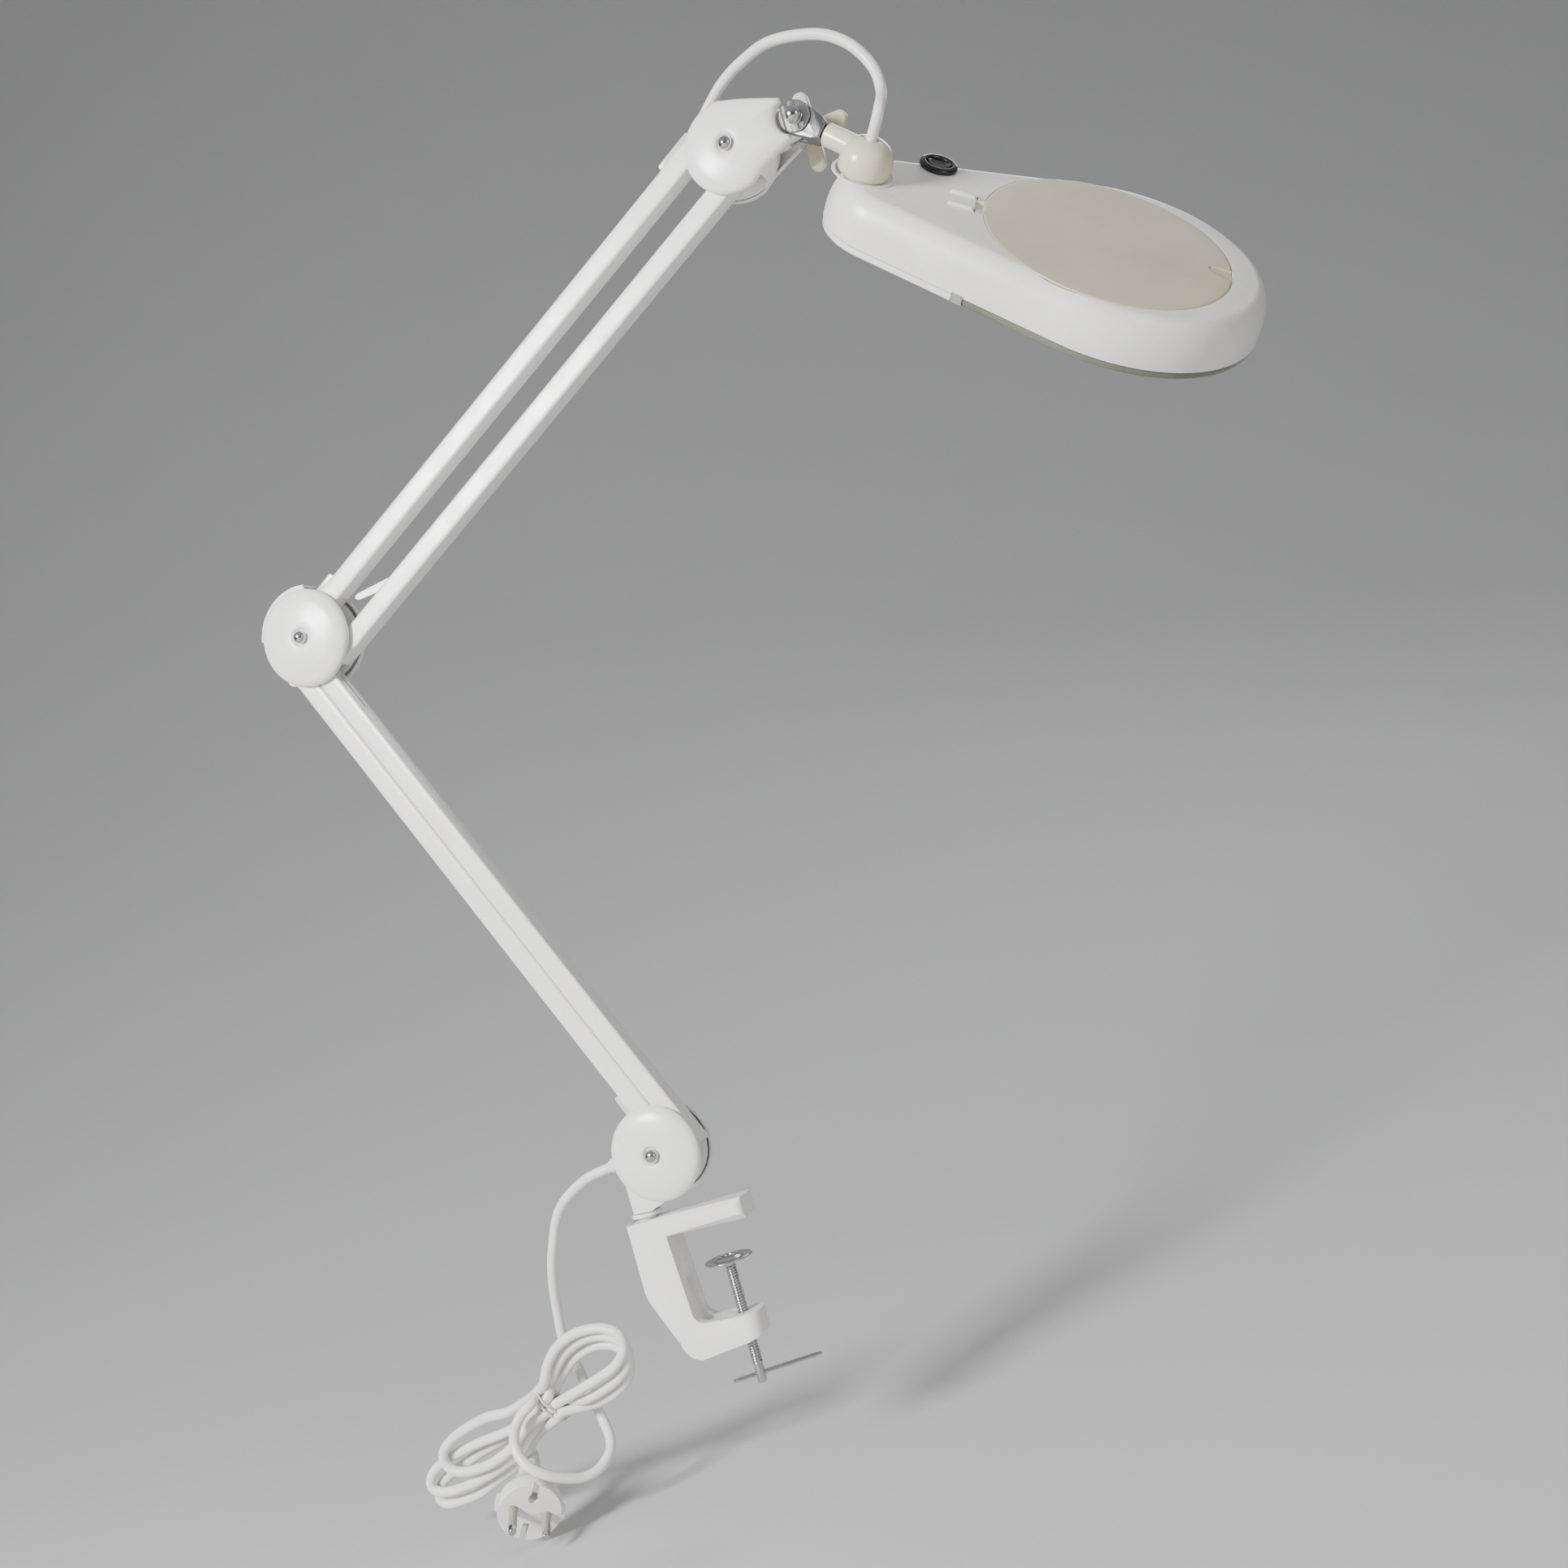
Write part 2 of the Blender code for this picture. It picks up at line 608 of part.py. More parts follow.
# ---- base bracket ---------------------------------------------------------------------
def base_bracket(parent):
    """Bent plate fork on the swivel post; local origin at the base bolt."""
    foot_x = SWIVEL_X - BASE_BOLT[0]
    foot_low = CLAMP_TOP + 3.0 - BASE_BOLT[1]
    outline = hull(circle(0, 0, 24.5, 28) + [(foot_x - 4.0, foot_low), (foot_x + 7.0, foot_low),
                                             (foot_x - 4.4, foot_low + 14.0)])
    holes = [circle(0, 0, BOLT_RADIUS + GAP)]
    for pivot in (P_MAIN, P_LINK):
        holes.append(circle(*subtracted(pivot, BASE_BOLT), PIN_RADIUS + GAP, 12))
    bracket = prism("base_bracket", [outline] + holes, -PLATE_OUT, PLATE_OUT, WHITE, parent)
    slot = [(-60.0, foot_low + 8.5), (60.0, foot_low + 8.5), (60.0, 60.0), (-60.0, 60.0)]
    cut(bracket, prism("base_slot", [slot], -PLATE_IN, PLATE_IN, WHITE, parent))
    post_seat = turned_mesh([(4.0 + GAP, foot_low - 5), (4.0 + GAP, foot_low + 5.5)], 16)
    place = Matrix.Translation((foot_x, 0, 0))
    cut(bracket, make_object("base_post_seat", moved(post_seat[0], place), post_seat[1], WHITE, parent))


def swivel_post(parent):
    profile = [(0, -24.0), (3.4, -24.0), (4.0, -23.4), (4.0, CLAMP_TOP + 8.0), (0, CLAMP_TOP + 8.0)]
    lathe("swivel_post", profile, 18, STEEL, parent)


# ---- elbow ----------------------------------------------------------------------------
def elbow_bracket(parent):
    """Two plates joined by a curved strip over the elbow's back."""
    plate = arc(0, 0, 26.0, 170, 435, 25)
    plate += arc(0, 0, SHROUD_OUT, 78, 167, 14)
    holes = [circle(0, 0, BOLT_RADIUS + GAP)]
    for pivot in (Q_MAIN, Q_LINK, R_MAIN, R_LINK):
        holes.append(circle(*subtracted(pivot, ELBOW_BOLT), PIN_RADIUS + GAP, 12))
    bracket = prism("elbow_bracket", [plate] + holes, -PLATE_OUT, PLATE_OUT, WHITE, parent)
    slot = arc(0, 0, 45.0, 170, 435, 20) + arc(0, 0, SHROUD_IN, 75, 170, 14)
    cut(bracket, prism("elbow_slot", [slot], -PLATE_IN, PLATE_IN, WHITE, parent))


# ---- head bracket and knuckle ---------------------------------------------------------
def head_cap_outline():
    """Round end about the head bolt, drawn out to a nose that is notched round the knuckle."""
    outline = arc(0, 0, HEAD_CAP_RADIUS, 85, 292, 15)
    outline += [(18.0, -17.6), (26.0, -14.0), (34.2, -10.3)]
    outline += arc(*KNUCKLE, HEAD_NOTCH_RADIUS, 242, 118, 7)
    outline += [(33.8, 13.0), (24.0, 17.2), (13.0, 21.6)]
    return outline


def head_bracket(parent):
    """Plates about the tubes that close to a solid tongue at the knuckle."""
    neck = math.degrees(math.asin(8.0 / 24.0))
    outline = arc(0, 0, 24.0, neck + 4, 360 - neck - 1, 22)
    outline += arc(*KNUCKLE, 8.0, -90, 90, 9)
    holes = [circle(0, 0, BOLT_RADIUS + GAP), circle(*KNUCKLE, 3.0 + GAP)]
    for pivot in (S_MAIN, S_LINK):
        holes.append(circle(*subtracted(pivot, HEAD_BOLT), PIN_RADIUS + GAP, 12))
    bracket = prism("head_bracket", [outline] + holes, -PLATE_OUT, PLATE_OUT, WHITE, parent)
    slot = [(-60.0, -60.0), (12.0, -60.0), (12.0, 60.0), (-60.0, 60.0)]
    cut(bracket, prism("head_slot", [slot], -PLATE_IN, PLATE_IN, WHITE, parent))
    for side in (-1, 1):
        relief = circle(*KNUCKLE, 12.5, 28)
        low, high = sorted((side * 3.2, side * 20.0))
        cut(bracket, prism(f"head_relief_{side + 1}", [relief], low, high, WHITE, parent))


def knuckle_fork(parent):
    """Cast fork; its frame's x axis runs down the stem."""
    outline = hull(circle(0, 0, 9.0, 22) + [(13.0, 7.0), (17.5, 4.5), (17.5, -4.5), (13.0, -7.0)])
    fork = prism("knuckle_fork", [outline, circle(0, 0, 3.0 + GAP, 16, 0.1)], -7.2, 7.2, CHROME, parent)
    bevel(fork, 0.8, 1, 50)
    slot = circle(0, 0, 11.2, 22, 0.07)
    cut(fork, prism("fork_slot", [slot], -3.6, 3.6, CHROME, parent))
    stud = turned_mesh([(2.6, 15.0), (2.6, 26.0)], 14)
    place = Matrix.Rotation(math.radians(90), 4, "Y")
    rod = make_object("fork_stud", moved(stud[0], place), stud[1], CHROME, parent, 40)
    combine(fork, rod, "UNION")


def knuckle_bolt(parent):
    profile = [(0, -9.2), (2.3, -9.2), (3.0, -8.6), (3.0, 22.4), (2.4, 23.0), (0, 23.0)]
    lathe("knuckle_bolt", profile, 14, STEEL, parent, TO_Y)


def knuckle_nut(parent):
    """Front washer face and acorn nut in one."""
    profile = [(3.3, -7.5), (8.8, -7.5), (8.8, -8.3), (8.2, -8.8), (4.6, -8.8), (4.6, -10.8), (3.9, -12.8),
               (2.2, -14.2), (0, -14.7), (0, -10.2), (3.3, -9.4)]
    lathe("knuckle_nut", profile, 16, CHROME, parent, TO_Y)


def wing_nut(parent):
    """Four-lobed hand nut behind the knuckle."""
    hub = 8.0
    reach = 18.0
    outline = []
    for lobe in range(4):
        span = 90 * lobe
        centre = math.radians(span)
        outline += arc(reach * math.cos(centre), reach * math.sin(centre), 4.5, span - 86, span + 86, 7)
        valley = math.radians(span + 45)
        outline.append((hub * math.cos(valley), hub * math.sin(valley)))
    wing = prism("wing_nut", [outline], 15.8, 21.2, CREAM, parent, 60)
    boss = turned_mesh([(7.0, 7.6), (7.6, 8.4), (7.6, 24.0), (6.4, 25.6)], 20)
    combine(wing, make_object("wing_boss", moved(boss[0], TO_Y), boss[1], CREAM, parent, 40), "UNION")
    bore = turned_mesh([(3.3, 5.0), (3.3, 30.0)], 14, 0.3)
    cut(wing, make_object("wing_bore", moved(bore[0], TO_Y), bore[1], CREAM, parent, 40))


def stem_housing(parent):
    """Cream tee: a sleeve from the knuckle and the dome over the head's swivel."""
    base = HEAD_TOP + GAP + 0.2
    bore = SWIVEL_RADIUS + GAP
    dome = [(bore, base), (13.2, base), (14.3, base + 1.8), (14.7, -5.0), (14.2, -1.0), (12.6, 3.0),
            (9.8, 6.0), (6.6, 7.6), (3.6, 8.1), (3.6, SWIVEL_TOP + GAP), (bore, SWIVEL_TOP + GAP)]
    verts, faces = lathe_mesh(dome, 24)
    tee = make_object("stem_housing", verts, faces, CREAM, parent, 45)
    sleeve = turned_mesh([(6.3, 8.0), (6.3, 25.4), (5.8, 26.0)], 20)
    place = Matrix.Rotation(math.radians(-90), 4, "Y")
    rod = make_object("stem_sleeve", moved(sleeve[0], place), sleeve[1], CREAM, parent, 40)
    combine(tee, rod, "UNION")
    seat = turned_mesh([(2.9, 17.6), (2.9, 30.0)], 14)
    hole = make_object("stem_stud_hole", moved(seat[0], place), seat[1], CREAM, parent, 40)
    cut(tee, hole)


def swivel_tube(parent):
    """Hollow threaded tube that holds the head to the dome; the cord runs through it."""
    inside = HEAD_TOP - TOP_WALL - GAP
    flange = inside - 2.0
    profile = [(3.5, flange - 4.0), (4.4, flange - 4.0), (4.4, flange), (6.0, flange), (6.0, inside),
               (SWIVEL_RADIUS, inside), (SWIVEL_RADIUS, SWIVEL_TOP), (3.5, SWIVEL_TOP)]
    lathe("head_swivel_tube", profile, 18, STEEL, parent)


# ---- head -----------------------------------------------------------------------------
def head_tangent():
    """Direction in degrees, from either round's centre, where the straight sides touch it."""
    return 90 + math.degrees(math.asin((HEAD_WIDE[1] - HEAD_NARROW[1]) / (HEAD_WIDE[0] - HEAD_NARROW[0])))


def head_outline(inset=0.0, arc_points=18, nose_points=8):
    """Egg outline: a wide and a narrow round joined by their tangents, in (u, v)."""
    wide_x, wide_r = HEAD_WIDE
    nose_x, nose_r = HEAD_NARROW
    tangent = head_tangent()
    outline = arc(wide_x, 0, wide_r - inset, -tangent, tangent, arc_points)
    outline += arc(nose_x, 0, nose_r - inset, tangent, 360 - tangent, nose_points)
    return outline


def head_solid(name, levels, spec, parent):
    """Closed egg solid through (inset, height) levels."""
    rings = [[(u, v, height) for u, v in head_outline(inset)] for inset, height in levels]
    verts, faces = loft_mesh(rings)
    return make_object(name, verts, faces, spec, parent, 50)


def round_cutter(name, x, y, radius, low, high, parent, count=40):
    verts, faces = turned_mesh([(radius, low), (radius, high)], count)
    place = Matrix.Translation((x, y, 0))
    return make_object(name, moved(verts, place), faces, SHELL, parent)


def shell_levels():
    """(inset, height) levels up the side and over the quarter-ellipse shoulder."""
    across, down = SHOULDER
    levels = [(0.0, HEAD_BOTTOM)]
    for step in range(6):
        turn = math.radians(18 * step)
        levels.append((across * (1 - math.cos(turn)), HEAD_TOP - down * (1 - math.sin(turn))))
    return levels


def head_shell(parent):
    shell = head_solid("head_shell", shell_levels(), SHELL, parent)
    hollow = [(SHELL_WALL, HEAD_BOTTOM - 5.0), (SHELL_WALL, -26.0), (SHELL_WALL + 1.0, -21.0),
              (SHELL_WALL + 3.6, -17.0), (SHELL_WALL + 7.4, HEAD_TOP - TOP_WALL - 0.2),
              (SHELL_WALL + 10.4, HEAD_TOP - TOP_WALL)]
    cut(shell, head_solid("shell_hollow", hollow, SHELL, parent))
    seat = HEAD_TOP - COVER_SEAT
    above = HEAD_TOP + 16.0
    cut(shell, round_cutter("cover_seat", LENS_CENTRE, 0, COVER_RADIUS + 0.4, seat, above, parent, 40))
    cut(shell, round_cutter("lens_window", LENS_CENTRE, 0, LENS_RADIUS - 1.2, -20, above, parent, 32))
    cut(shell, round_cutter("swivel_window", 0, 0, 5.0, -20, above, parent, 16))
    cut(shell, round_cutter("switch_window", *SWITCH_AT, SWITCH_HOLE, -25, above, parent, 24))
    notch = [(HINGE_U - 2.6, -11.0), (HINGE_U + 4.0, -11.0), (HINGE_U + 4.0, 11.0), (HINGE_U - 2.6, 11.0)]
    verts, faces = prism_mesh([notch], -above, -HEAD_TOP + 2.5)
    turned = [(x, z, -y) for x, y, z in verts]
    cut(shell, make_object("hinge_notch", turned, faces, SHELL, parent))


def wide_end(inset, u, arc_points):
    """Outline of the wide round with its straight sides, cut straight across at u."""
    wide_x, wide_r = HEAD_WIDE
    tangent = head_tangent()
    outline = arc(wide_x, 0, wide_r - inset, -tangent, tangent, arc_points)
    edge_x, edge_y = outline[-1]
    side = edge_y + (edge_x - u) / math.tan(math.radians(tangent))
    return outline + [(u, side), (u, -side)]


def narrow_end(inset, u, arc_points):
    """Outline of the narrow round with its straight sides, cut straight across at u."""
    nose_x, nose_r = HEAD_NARROW
    tangent = head_tangent()
    outline = arc(nose_x, 0, nose_r - inset, tangent, 360 - tangent, arc_points)
    edge_x, edge_y = outline[0]
    side = edge_y + (edge_x - u) / math.tan(math.radians(tangent))
    return outline + [(u, -side), (u, side)]


def head_base(parent):
    """Flat cover under the narrow end, flush with the shell."""
    outline = narrow_end(0.5, LIGHT_START - GAP, 11)
    verts, faces = prism_mesh([outline], GAP - HEAD_BOTTOM, GAP - HEAD_BOTTOM + RIM_THICKNESS)
    turned = [(x, z, -y) for x, y, z in verts]
    make_object("head_base", turned, faces, SHELL, parent, 40)


def light_ring(parent):
    """Clear cover under the wide end, open below the lens, and the lamps' board above it."""
    low = HEAD_BOTTOM - GAP - RIM_THICKNESS
    outline = wide_end(0.5, LIGHT_START + GAP, 33)
    verts, faces = loft_mesh([[(u, v, height) for u, v in outline] for height in (low, HEAD_BOTTOM - GAP)])
    cover = make_object("diffuser_ring", verts, faces, SMOKE, parent, 30)
    cut(cover, round_cutter("lens_opening", LENS_CENTRE, 0, RING_IN, -60, 0, parent, 40))
    place = Matrix.Translation((LENS_CENTRE, 0, 0))
    board = [(RING_IN + 0.4, -31.2), (BOARD_OUT, -31.2), (BOARD_OUT, -29.6), (RING_IN + 0.4, -29.6)]
    lathe("light_board", board, 24, BOARD, parent, place)


def lens(parent):
    """Biconvex lens."""
    middle = -21.5
    profile = [(0, middle - 6.0), (22, middle - 5.3), (44, middle - 3.6), (LENS_RADIUS, middle - 1.2),
               (LENS_RADIUS, middle + 1.2), (44, middle + 3.6), (22, middle + 5.3), (0, middle + 6.0)]
    lathe("lens", profile, 32, GLASS, parent, Matrix.Translation((LENS_CENTRE, 0, 0)), 30)


def lens_holder(parent):
    """Ring that carries the lens and closes the inside of the light ring."""
    bore = LENS_RADIUS + GAP
    profile = [(bore, -40.0), (RING_IN - GAP, -40.0), (RING_IN - GAP, -15.0), (bore - 2.6, -15.0),
               (bore - 2.6, -18.6), (bore, -18.6)]
    lathe("lens_holder", profile, 32, SHELL, parent, Matrix.Translation((LENS_CENTRE, 0, 0)), 30)


def driver_box(parent):
    verts, faces = prism_mesh([[(24, -34), (58, -34), (58, 6), (24, 6)]], 17.0, 33.0)
    turned = [(x, z, -y) for x, y, z in verts]
    box = make_object("driver_box", turned, faces, BLACK, parent)
    bevel(box, 1.5, 1)


def lens_cover(parent):
    """Round lid; the frame's origin is on its hinge axis, which runs along y."""
    centre = LENS_CENTRE - HINGE_U
    top = HEAD_TOP - HINGE_N + 0.3
    low = HEAD_TOP - COVER_SEAT + GAP - HINGE_N
    profile = [(0, low), (COVER_RADIUS - 0.6, low), (COVER_RADIUS, low + 0.5), (COVER_RADIUS, top - 0.6),
               (COVER_RADIUS - 0.8, top), (0, top)]
    verts, faces = lathe_mesh(profile, 36)
    verts = moved(verts, Matrix.Translation((centre, 0, 0)))
    lid = make_object("lens_cover", verts, faces, COVER, parent, 30)
    for side in (-1, 1):
        arm = [(-1.5, low + 0.1), (8.0, low + 0.1), (8.0, top), (-1.5, top + 0.1)]
        low_y, high_y = sorted((side * 6.0, side * 9.0))
        combine(lid, prism(f"cover_arm_{side + 1}", [arm], low_y, high_y, COVER, parent), "UNION")
    thumb = round_cutter("thumb_notch", centre + COVER_RADIUS + 2.0, 0, 9.0, low + 0.9, 6.0, parent, 20)
    cut(lid, thumb)


def switch(parent, rocker_parent):
    """Round rocker switch: the body is in the head's frame, the rocker on its own axis."""
    place = Matrix.Translation((*SWITCH_AT, 0))
    seat = HEAD_TOP + GAP
    body = [(6.9, -30.0), (8.5, -30.0), (8.5, seat), (SWITCH_RADIUS, seat), (SWITCH_RADIUS, seat + 1.6),
            (9.6, seat + 2.6), (7.8, seat + 2.8), (6.9, seat + 1.8)]
    lathe("switch_body", body, 20, BLACK, parent, place)
    rings = []
    for share in (-1.0, -0.6, 0.0, 0.6, 1.0):
        top = 3.6 - 2.6 * (1.0 - abs(share)) ** 1.2
        half = 5.2 * math.sqrt(max(0.0, 1.0 - (share * 0.82) ** 2))
        x = 5.4 * share
        rings.append([(x, -half, -5.0), (x, half, -5.0), (x, half, top), (x, -half, top)])
    verts, faces = loft_mesh(rings)
    make_object("switch_rocker", verts, faces, BLACK, rocker_parent, 40)


# ---- cords, plug ----------------------------------------------------------------------
def head_cord_points():
    """Route of the head cord in the XZ plane, from the head cap to the dome's gland."""
    across = [(-11.4, 25.0), (3.4, 37.4), (18.1, 44.3), (36.3, 47.8), (60.6, 41.0), (75.8, 29.0),
              (84.8, 12.1), (85.7, -1.9)]
    return [(HEAD_BOLT[0] + x, 0.0, HEAD_BOLT[1] + z) for x, z in across]


def gland_top(height):
    point = DOME_FRAME @ Vector((0, 0, height))
    return tuple(point)


def head_cord():
    """Two lengths that meet above the knuckle, so each bends about one joint."""
    samples = smooth_route(head_cord_points() + [gland_top(24.0), gland_top(9.9)])
    middle = min(range(len(samples)), key=lambda i: abs(samples[i].x - KNUCKLE_AXIS[0]))
    cord_curve("head_cord_arm", samples[:middle + 1])
    onward = (samples[middle + 1] - samples[middle]).normalized()
    cord_curve("head_cord_dome", [samples[middle] + onward * CORD_SPLIT] + samples[middle + 1:])


def mains_lead():
    """From the base gland behind the hank, round a loop below it, to its front by the band."""
    points = [LEAD_EXIT, (-71, 0, 39), (-91, 0, 26.5), (-104, 3, 5), (-112.5, 8, -14), (-117, 12, -30),
              (-119.8, 14, -48), (-118.5, 15, -60), (-115.5, 15, -70), (-114, 15, -80), (-111, 14.5, -90),
              (-107, 12, -100.5), (-103, 7, -109), (-102.5, 1, -115), (-107.5, -6, -120.5),
              (-114.2, -13, -121.5), (-121.3, -20, -118), (-129, -26, -112.5), (-136.7, -28.5, -106.1),
              (-142.8, -27, -99), (-145.7, -23.5, -91.9), (-146, -18.5, -86), (-142, -15, -80),
              (-135, -11.8, -75)]
    cord_curve("mains_lead", smooth_route(points))


def lead_hank():
    """Outer shape of the tied hank: a lobe each side of the waist under the band."""
    upper = [(-137, -70), (-131, -66), (-121, -52.5), (-107, -44), (-92, -42), (-78, -44.5), (-70.5, -52),
             (-69.5, -62), (-74, -74), (-84, -83), (-100, -88), (-121, -88.5)]
    lower = [(-127, -90), (-139, -94), (-150, -99), (-161, -107), (-170, -115.5), (-181, -123.5),
             (-199, -130), (-214, -131), (-223, -128), (-228, -117), (-225, -108), (-213, -97),
             (-204, -89), (-186, -81), (-163, -77), (-144, -77)]
    prism("lead_hank", [upper + lower], -8.0, 8.0, CABLE, None, 60)


def plug_frame():
    """Frame at the strain relief's end: x from pin to pin, -z along the pins."""
    back = -Vector(PLUG_PINS).normalized()
    across = Vector(PLUG_ACROSS)
    across = (across - back * across.dot(back)).normalized()
    turn = Matrix((across, back.cross(across), back)).transposed().to_4x4()
    return frame_empty("plug_axis", Matrix.Translation(PLUG_TOP) @ turn)


def plug():
    """Round two-pin mains plug with earth contacts at its sides, cord from its back."""
    frame = plug_frame()
    face = -PLUG_LENGTH
    body = turned_mesh([(PLUG_RADIUS - 0.8, face), (PLUG_RADIUS, face + 0.8), (PLUG_RADIUS, face + 9.0),
                        (16.6, face + 11.5), (10.6, face + 22.0), (6.8, face + 34.0), (4.6, 0.0)], 28)
    solid = make_object("mains_plug", body[0], body[1], CABLE, frame, 40)
    for side in (-1, 1):
        notch = [(-3.4, side * 14.6), (3.4, side * 14.6), (3.4, side * 20.0), (-3.4, side * 20.0)]
        verts, faces = prism_mesh([notch], face - 1.0, face + 9.6)
        turned = [(x, z, y) for x, y, z in verts]
        cut(solid, make_object(f"plug_notch_{side + 1}", turned, faces, CABLE, frame))
        pin = turned_mesh([(2.0, face - PIN_LENGTH), (2.4, face - PIN_LENGTH + 1.0), (2.4, face + 1.0)], 12)
        place = Matrix.Translation((side * PIN_SPACING / 2, 0, 0))
        rod = make_object(f"plug_pin_{side + 1}", moved(pin[0], place), pin[1], CHROME, frame, 40)
        combine(solid, rod, "UNION")
    earth = turned_mesh([(2.5, face - 1.0), (2.5, face + 8.0)], 12)
    place = Matrix.Translation((0, -10.0, 0))
    cut(solid, make_object("plug_earth_hole", moved(earth[0], place), earth[1], CABLE, frame))


def lead_gland(parent):
    """Sleeve in the gap of the base bracket where the mains lead comes out."""
    bore = CORD_RADIUS + GAP
    profile = [(bore, -3.0), (4.8, -3.0), (4.8, 3.0), (4.2, 9.0), (bore, 9.0)]
    lathe("lead_gland", profile, 14, CABLE, parent)


# ---- build ----------------------------------------------------------------------------
def build():
    clear_scene()
    origin = frame_empty("clamp_origin", Matrix.Identity(4))
    clamp_frame(origin)
    post_bush(origin)
    screw_axis = frame_empty("screw_axis", Matrix.Translation((SCREW_X, 0, 0)))
    clamp_pad(screw_axis)
    clamp_screw(screw_axis)
    bar_place = (Matrix.Translation((SCREW_X, 0, TOMMY_Z))
                 @ Matrix.Rotation(math.radians(TOMMY_TURN), 4, "Z"))
    tommy_bar(frame_empty("tommy_axis", bar_place))

    swivel_post(frame_empty("swivel_axis", Matrix.Translation((SWIVEL_X, 0, 0))))
    base = frame_empty("base_bolt_axis", place_y(*BASE_BOLT))
    base_bracket(base)
    round_base = circle(0, 0, BASE_CAP_RADIUS, 24)
    dished_cap("base_cap_front", round_base, BASE_CAP_RADIUS, -1, WHITE, base)
    dished_cap("base_cap_rear", round_base, BASE_CAP_RADIUS, 1, WHITE, base)
    bolt_and_nut("base", base)

    lower_main = frame_empty("lower_main_axis", place_y(*P_MAIN, LOWER_LEAN))
    pivot_pin("base_pin_main", lower_main)
    arm_tube("lower_tube_main", lower_main)
    cable_guide("lower_guide", lower_main, 6.0, 28.0)
    lower_link = frame_empty("lower_link_axis", place_y(*P_LINK, LOWER_LEAN))
    pivot_pin("base_pin_link", lower_link)
    arm_tube("lower_tube_link", lower_link)
    coil_spring("lower_spring", lower_link, 40.0, 150.0)

    elbow = frame_empty("elbow_bolt_axis", place_y(*ELBOW_BOLT))
    elbow_bracket(elbow)
    round_elbow = circle(0, 0, ELBOW_CAP_RADIUS, 24)
    dished_cap("elbow_cap_front", round_elbow, ELBOW_CAP_RADIUS, -1, WHITE, elbow)
    dished_cap("elbow_cap_rear", round_elbow, ELBOW_CAP_RADIUS, 1, WHITE, elbow)
    bolt_and_nut("elbow", elbow)
    for name, spot in (("elbow_pin_lower_main", Q_MAIN), ("elbow_pin_lower_link", Q_LINK)):
        pivot_pin(name, frame_empty(name + "_axis", place_y(*spot)))

    upper_main = frame_empty("upper_main_axis", place_y(*R_MAIN, UPPER_LEAN))
    pivot_pin("elbow_pin_upper_main", upper_main)
    arm_tube("upper_tube_main", upper_main)
    cable_guide("upper_guide_elbow", upper_main, 6.0, 27.0)
    cable_guide("upper_guide_head", upper_main, ARM_SPAN - 26.0, ARM_SPAN - 2.0)
    upper_link = frame_empty("upper_link_axis", place_y(*R_LINK, UPPER_LEAN))
    pivot_pin("elbow_pin_upper_link", upper_link)
    arm_tube("upper_tube_link", upper_link, lug=True)
    coil_spring("upper_spring", upper_link, 40.0, 150.0)

    head = frame_empty("head_bolt_axis", place_y(*HEAD_BOLT))
    head_bracket(head)
    for name, side in (("head_cap_front", -1), ("head_cap_rear", 1)):
        dished_cap(name, head_cap_outline(), HEAD_CAP_RADIUS, side, WHITE, head)
    bolt_and_nut("head", head)
    for name, spot in (("head_pin_main", S_MAIN), ("head_pin_link", S_LINK)):
        pivot_pin(name, frame_empty(name + "_axis", place_y(*spot)))

    knuckle = frame_empty("knuckle_axis", place_y(*KNUCKLE_AXIS))
    knuckle_bolt(knuckle)
    knuckle_nut(knuckle)
    wing_nut(knuckle)
    knuckle_fork(frame_empty("stem_axis", STEM_FRAME))
    dome = frame_empty("dome_axis", DOME_FRAME)
    stem_housing(dome)
    swivel_tube(dome)

    plate = frame_empty("head_swivel_axis", HEAD_FRAME)
    head_shell(plate)
    head_base(plate)
    light_ring(plate)
    lens(plate)
    lens_holder(plate)
    driver_box(plate)
    lens_cover(frame_empty("cover_hinge_axis", HEAD_FRAME @ Matrix.Translation((HINGE_U, 0, HINGE_N))))
    switch(plate, frame_empty("rocker_axis", HEAD_FRAME @ Matrix.Translation((*SWITCH_AT, HEAD_TOP))))

    gland_turn = Matrix.Rotation(math.radians(-100), 4, "Y")
    lead_gland(frame_empty("gland_frame", Matrix.Translation(LEAD_EXIT) @ gland_turn
                           @ Matrix.Translation((0, 0, -9.0 - GAP))))
    mains_lead()
    lead_hank()
    plug()
    head_cord()


build()
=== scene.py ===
"""Looks of the swing arm magnifier lamp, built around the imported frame.

Lengths are millimetres in each part's own frame, as in the part's source, and become metres in
build_mesh.  Every fine piece replaces the plain solid of the same name.
"""
import math

import bmesh
import bpy
from mathutils import Matrix, Vector


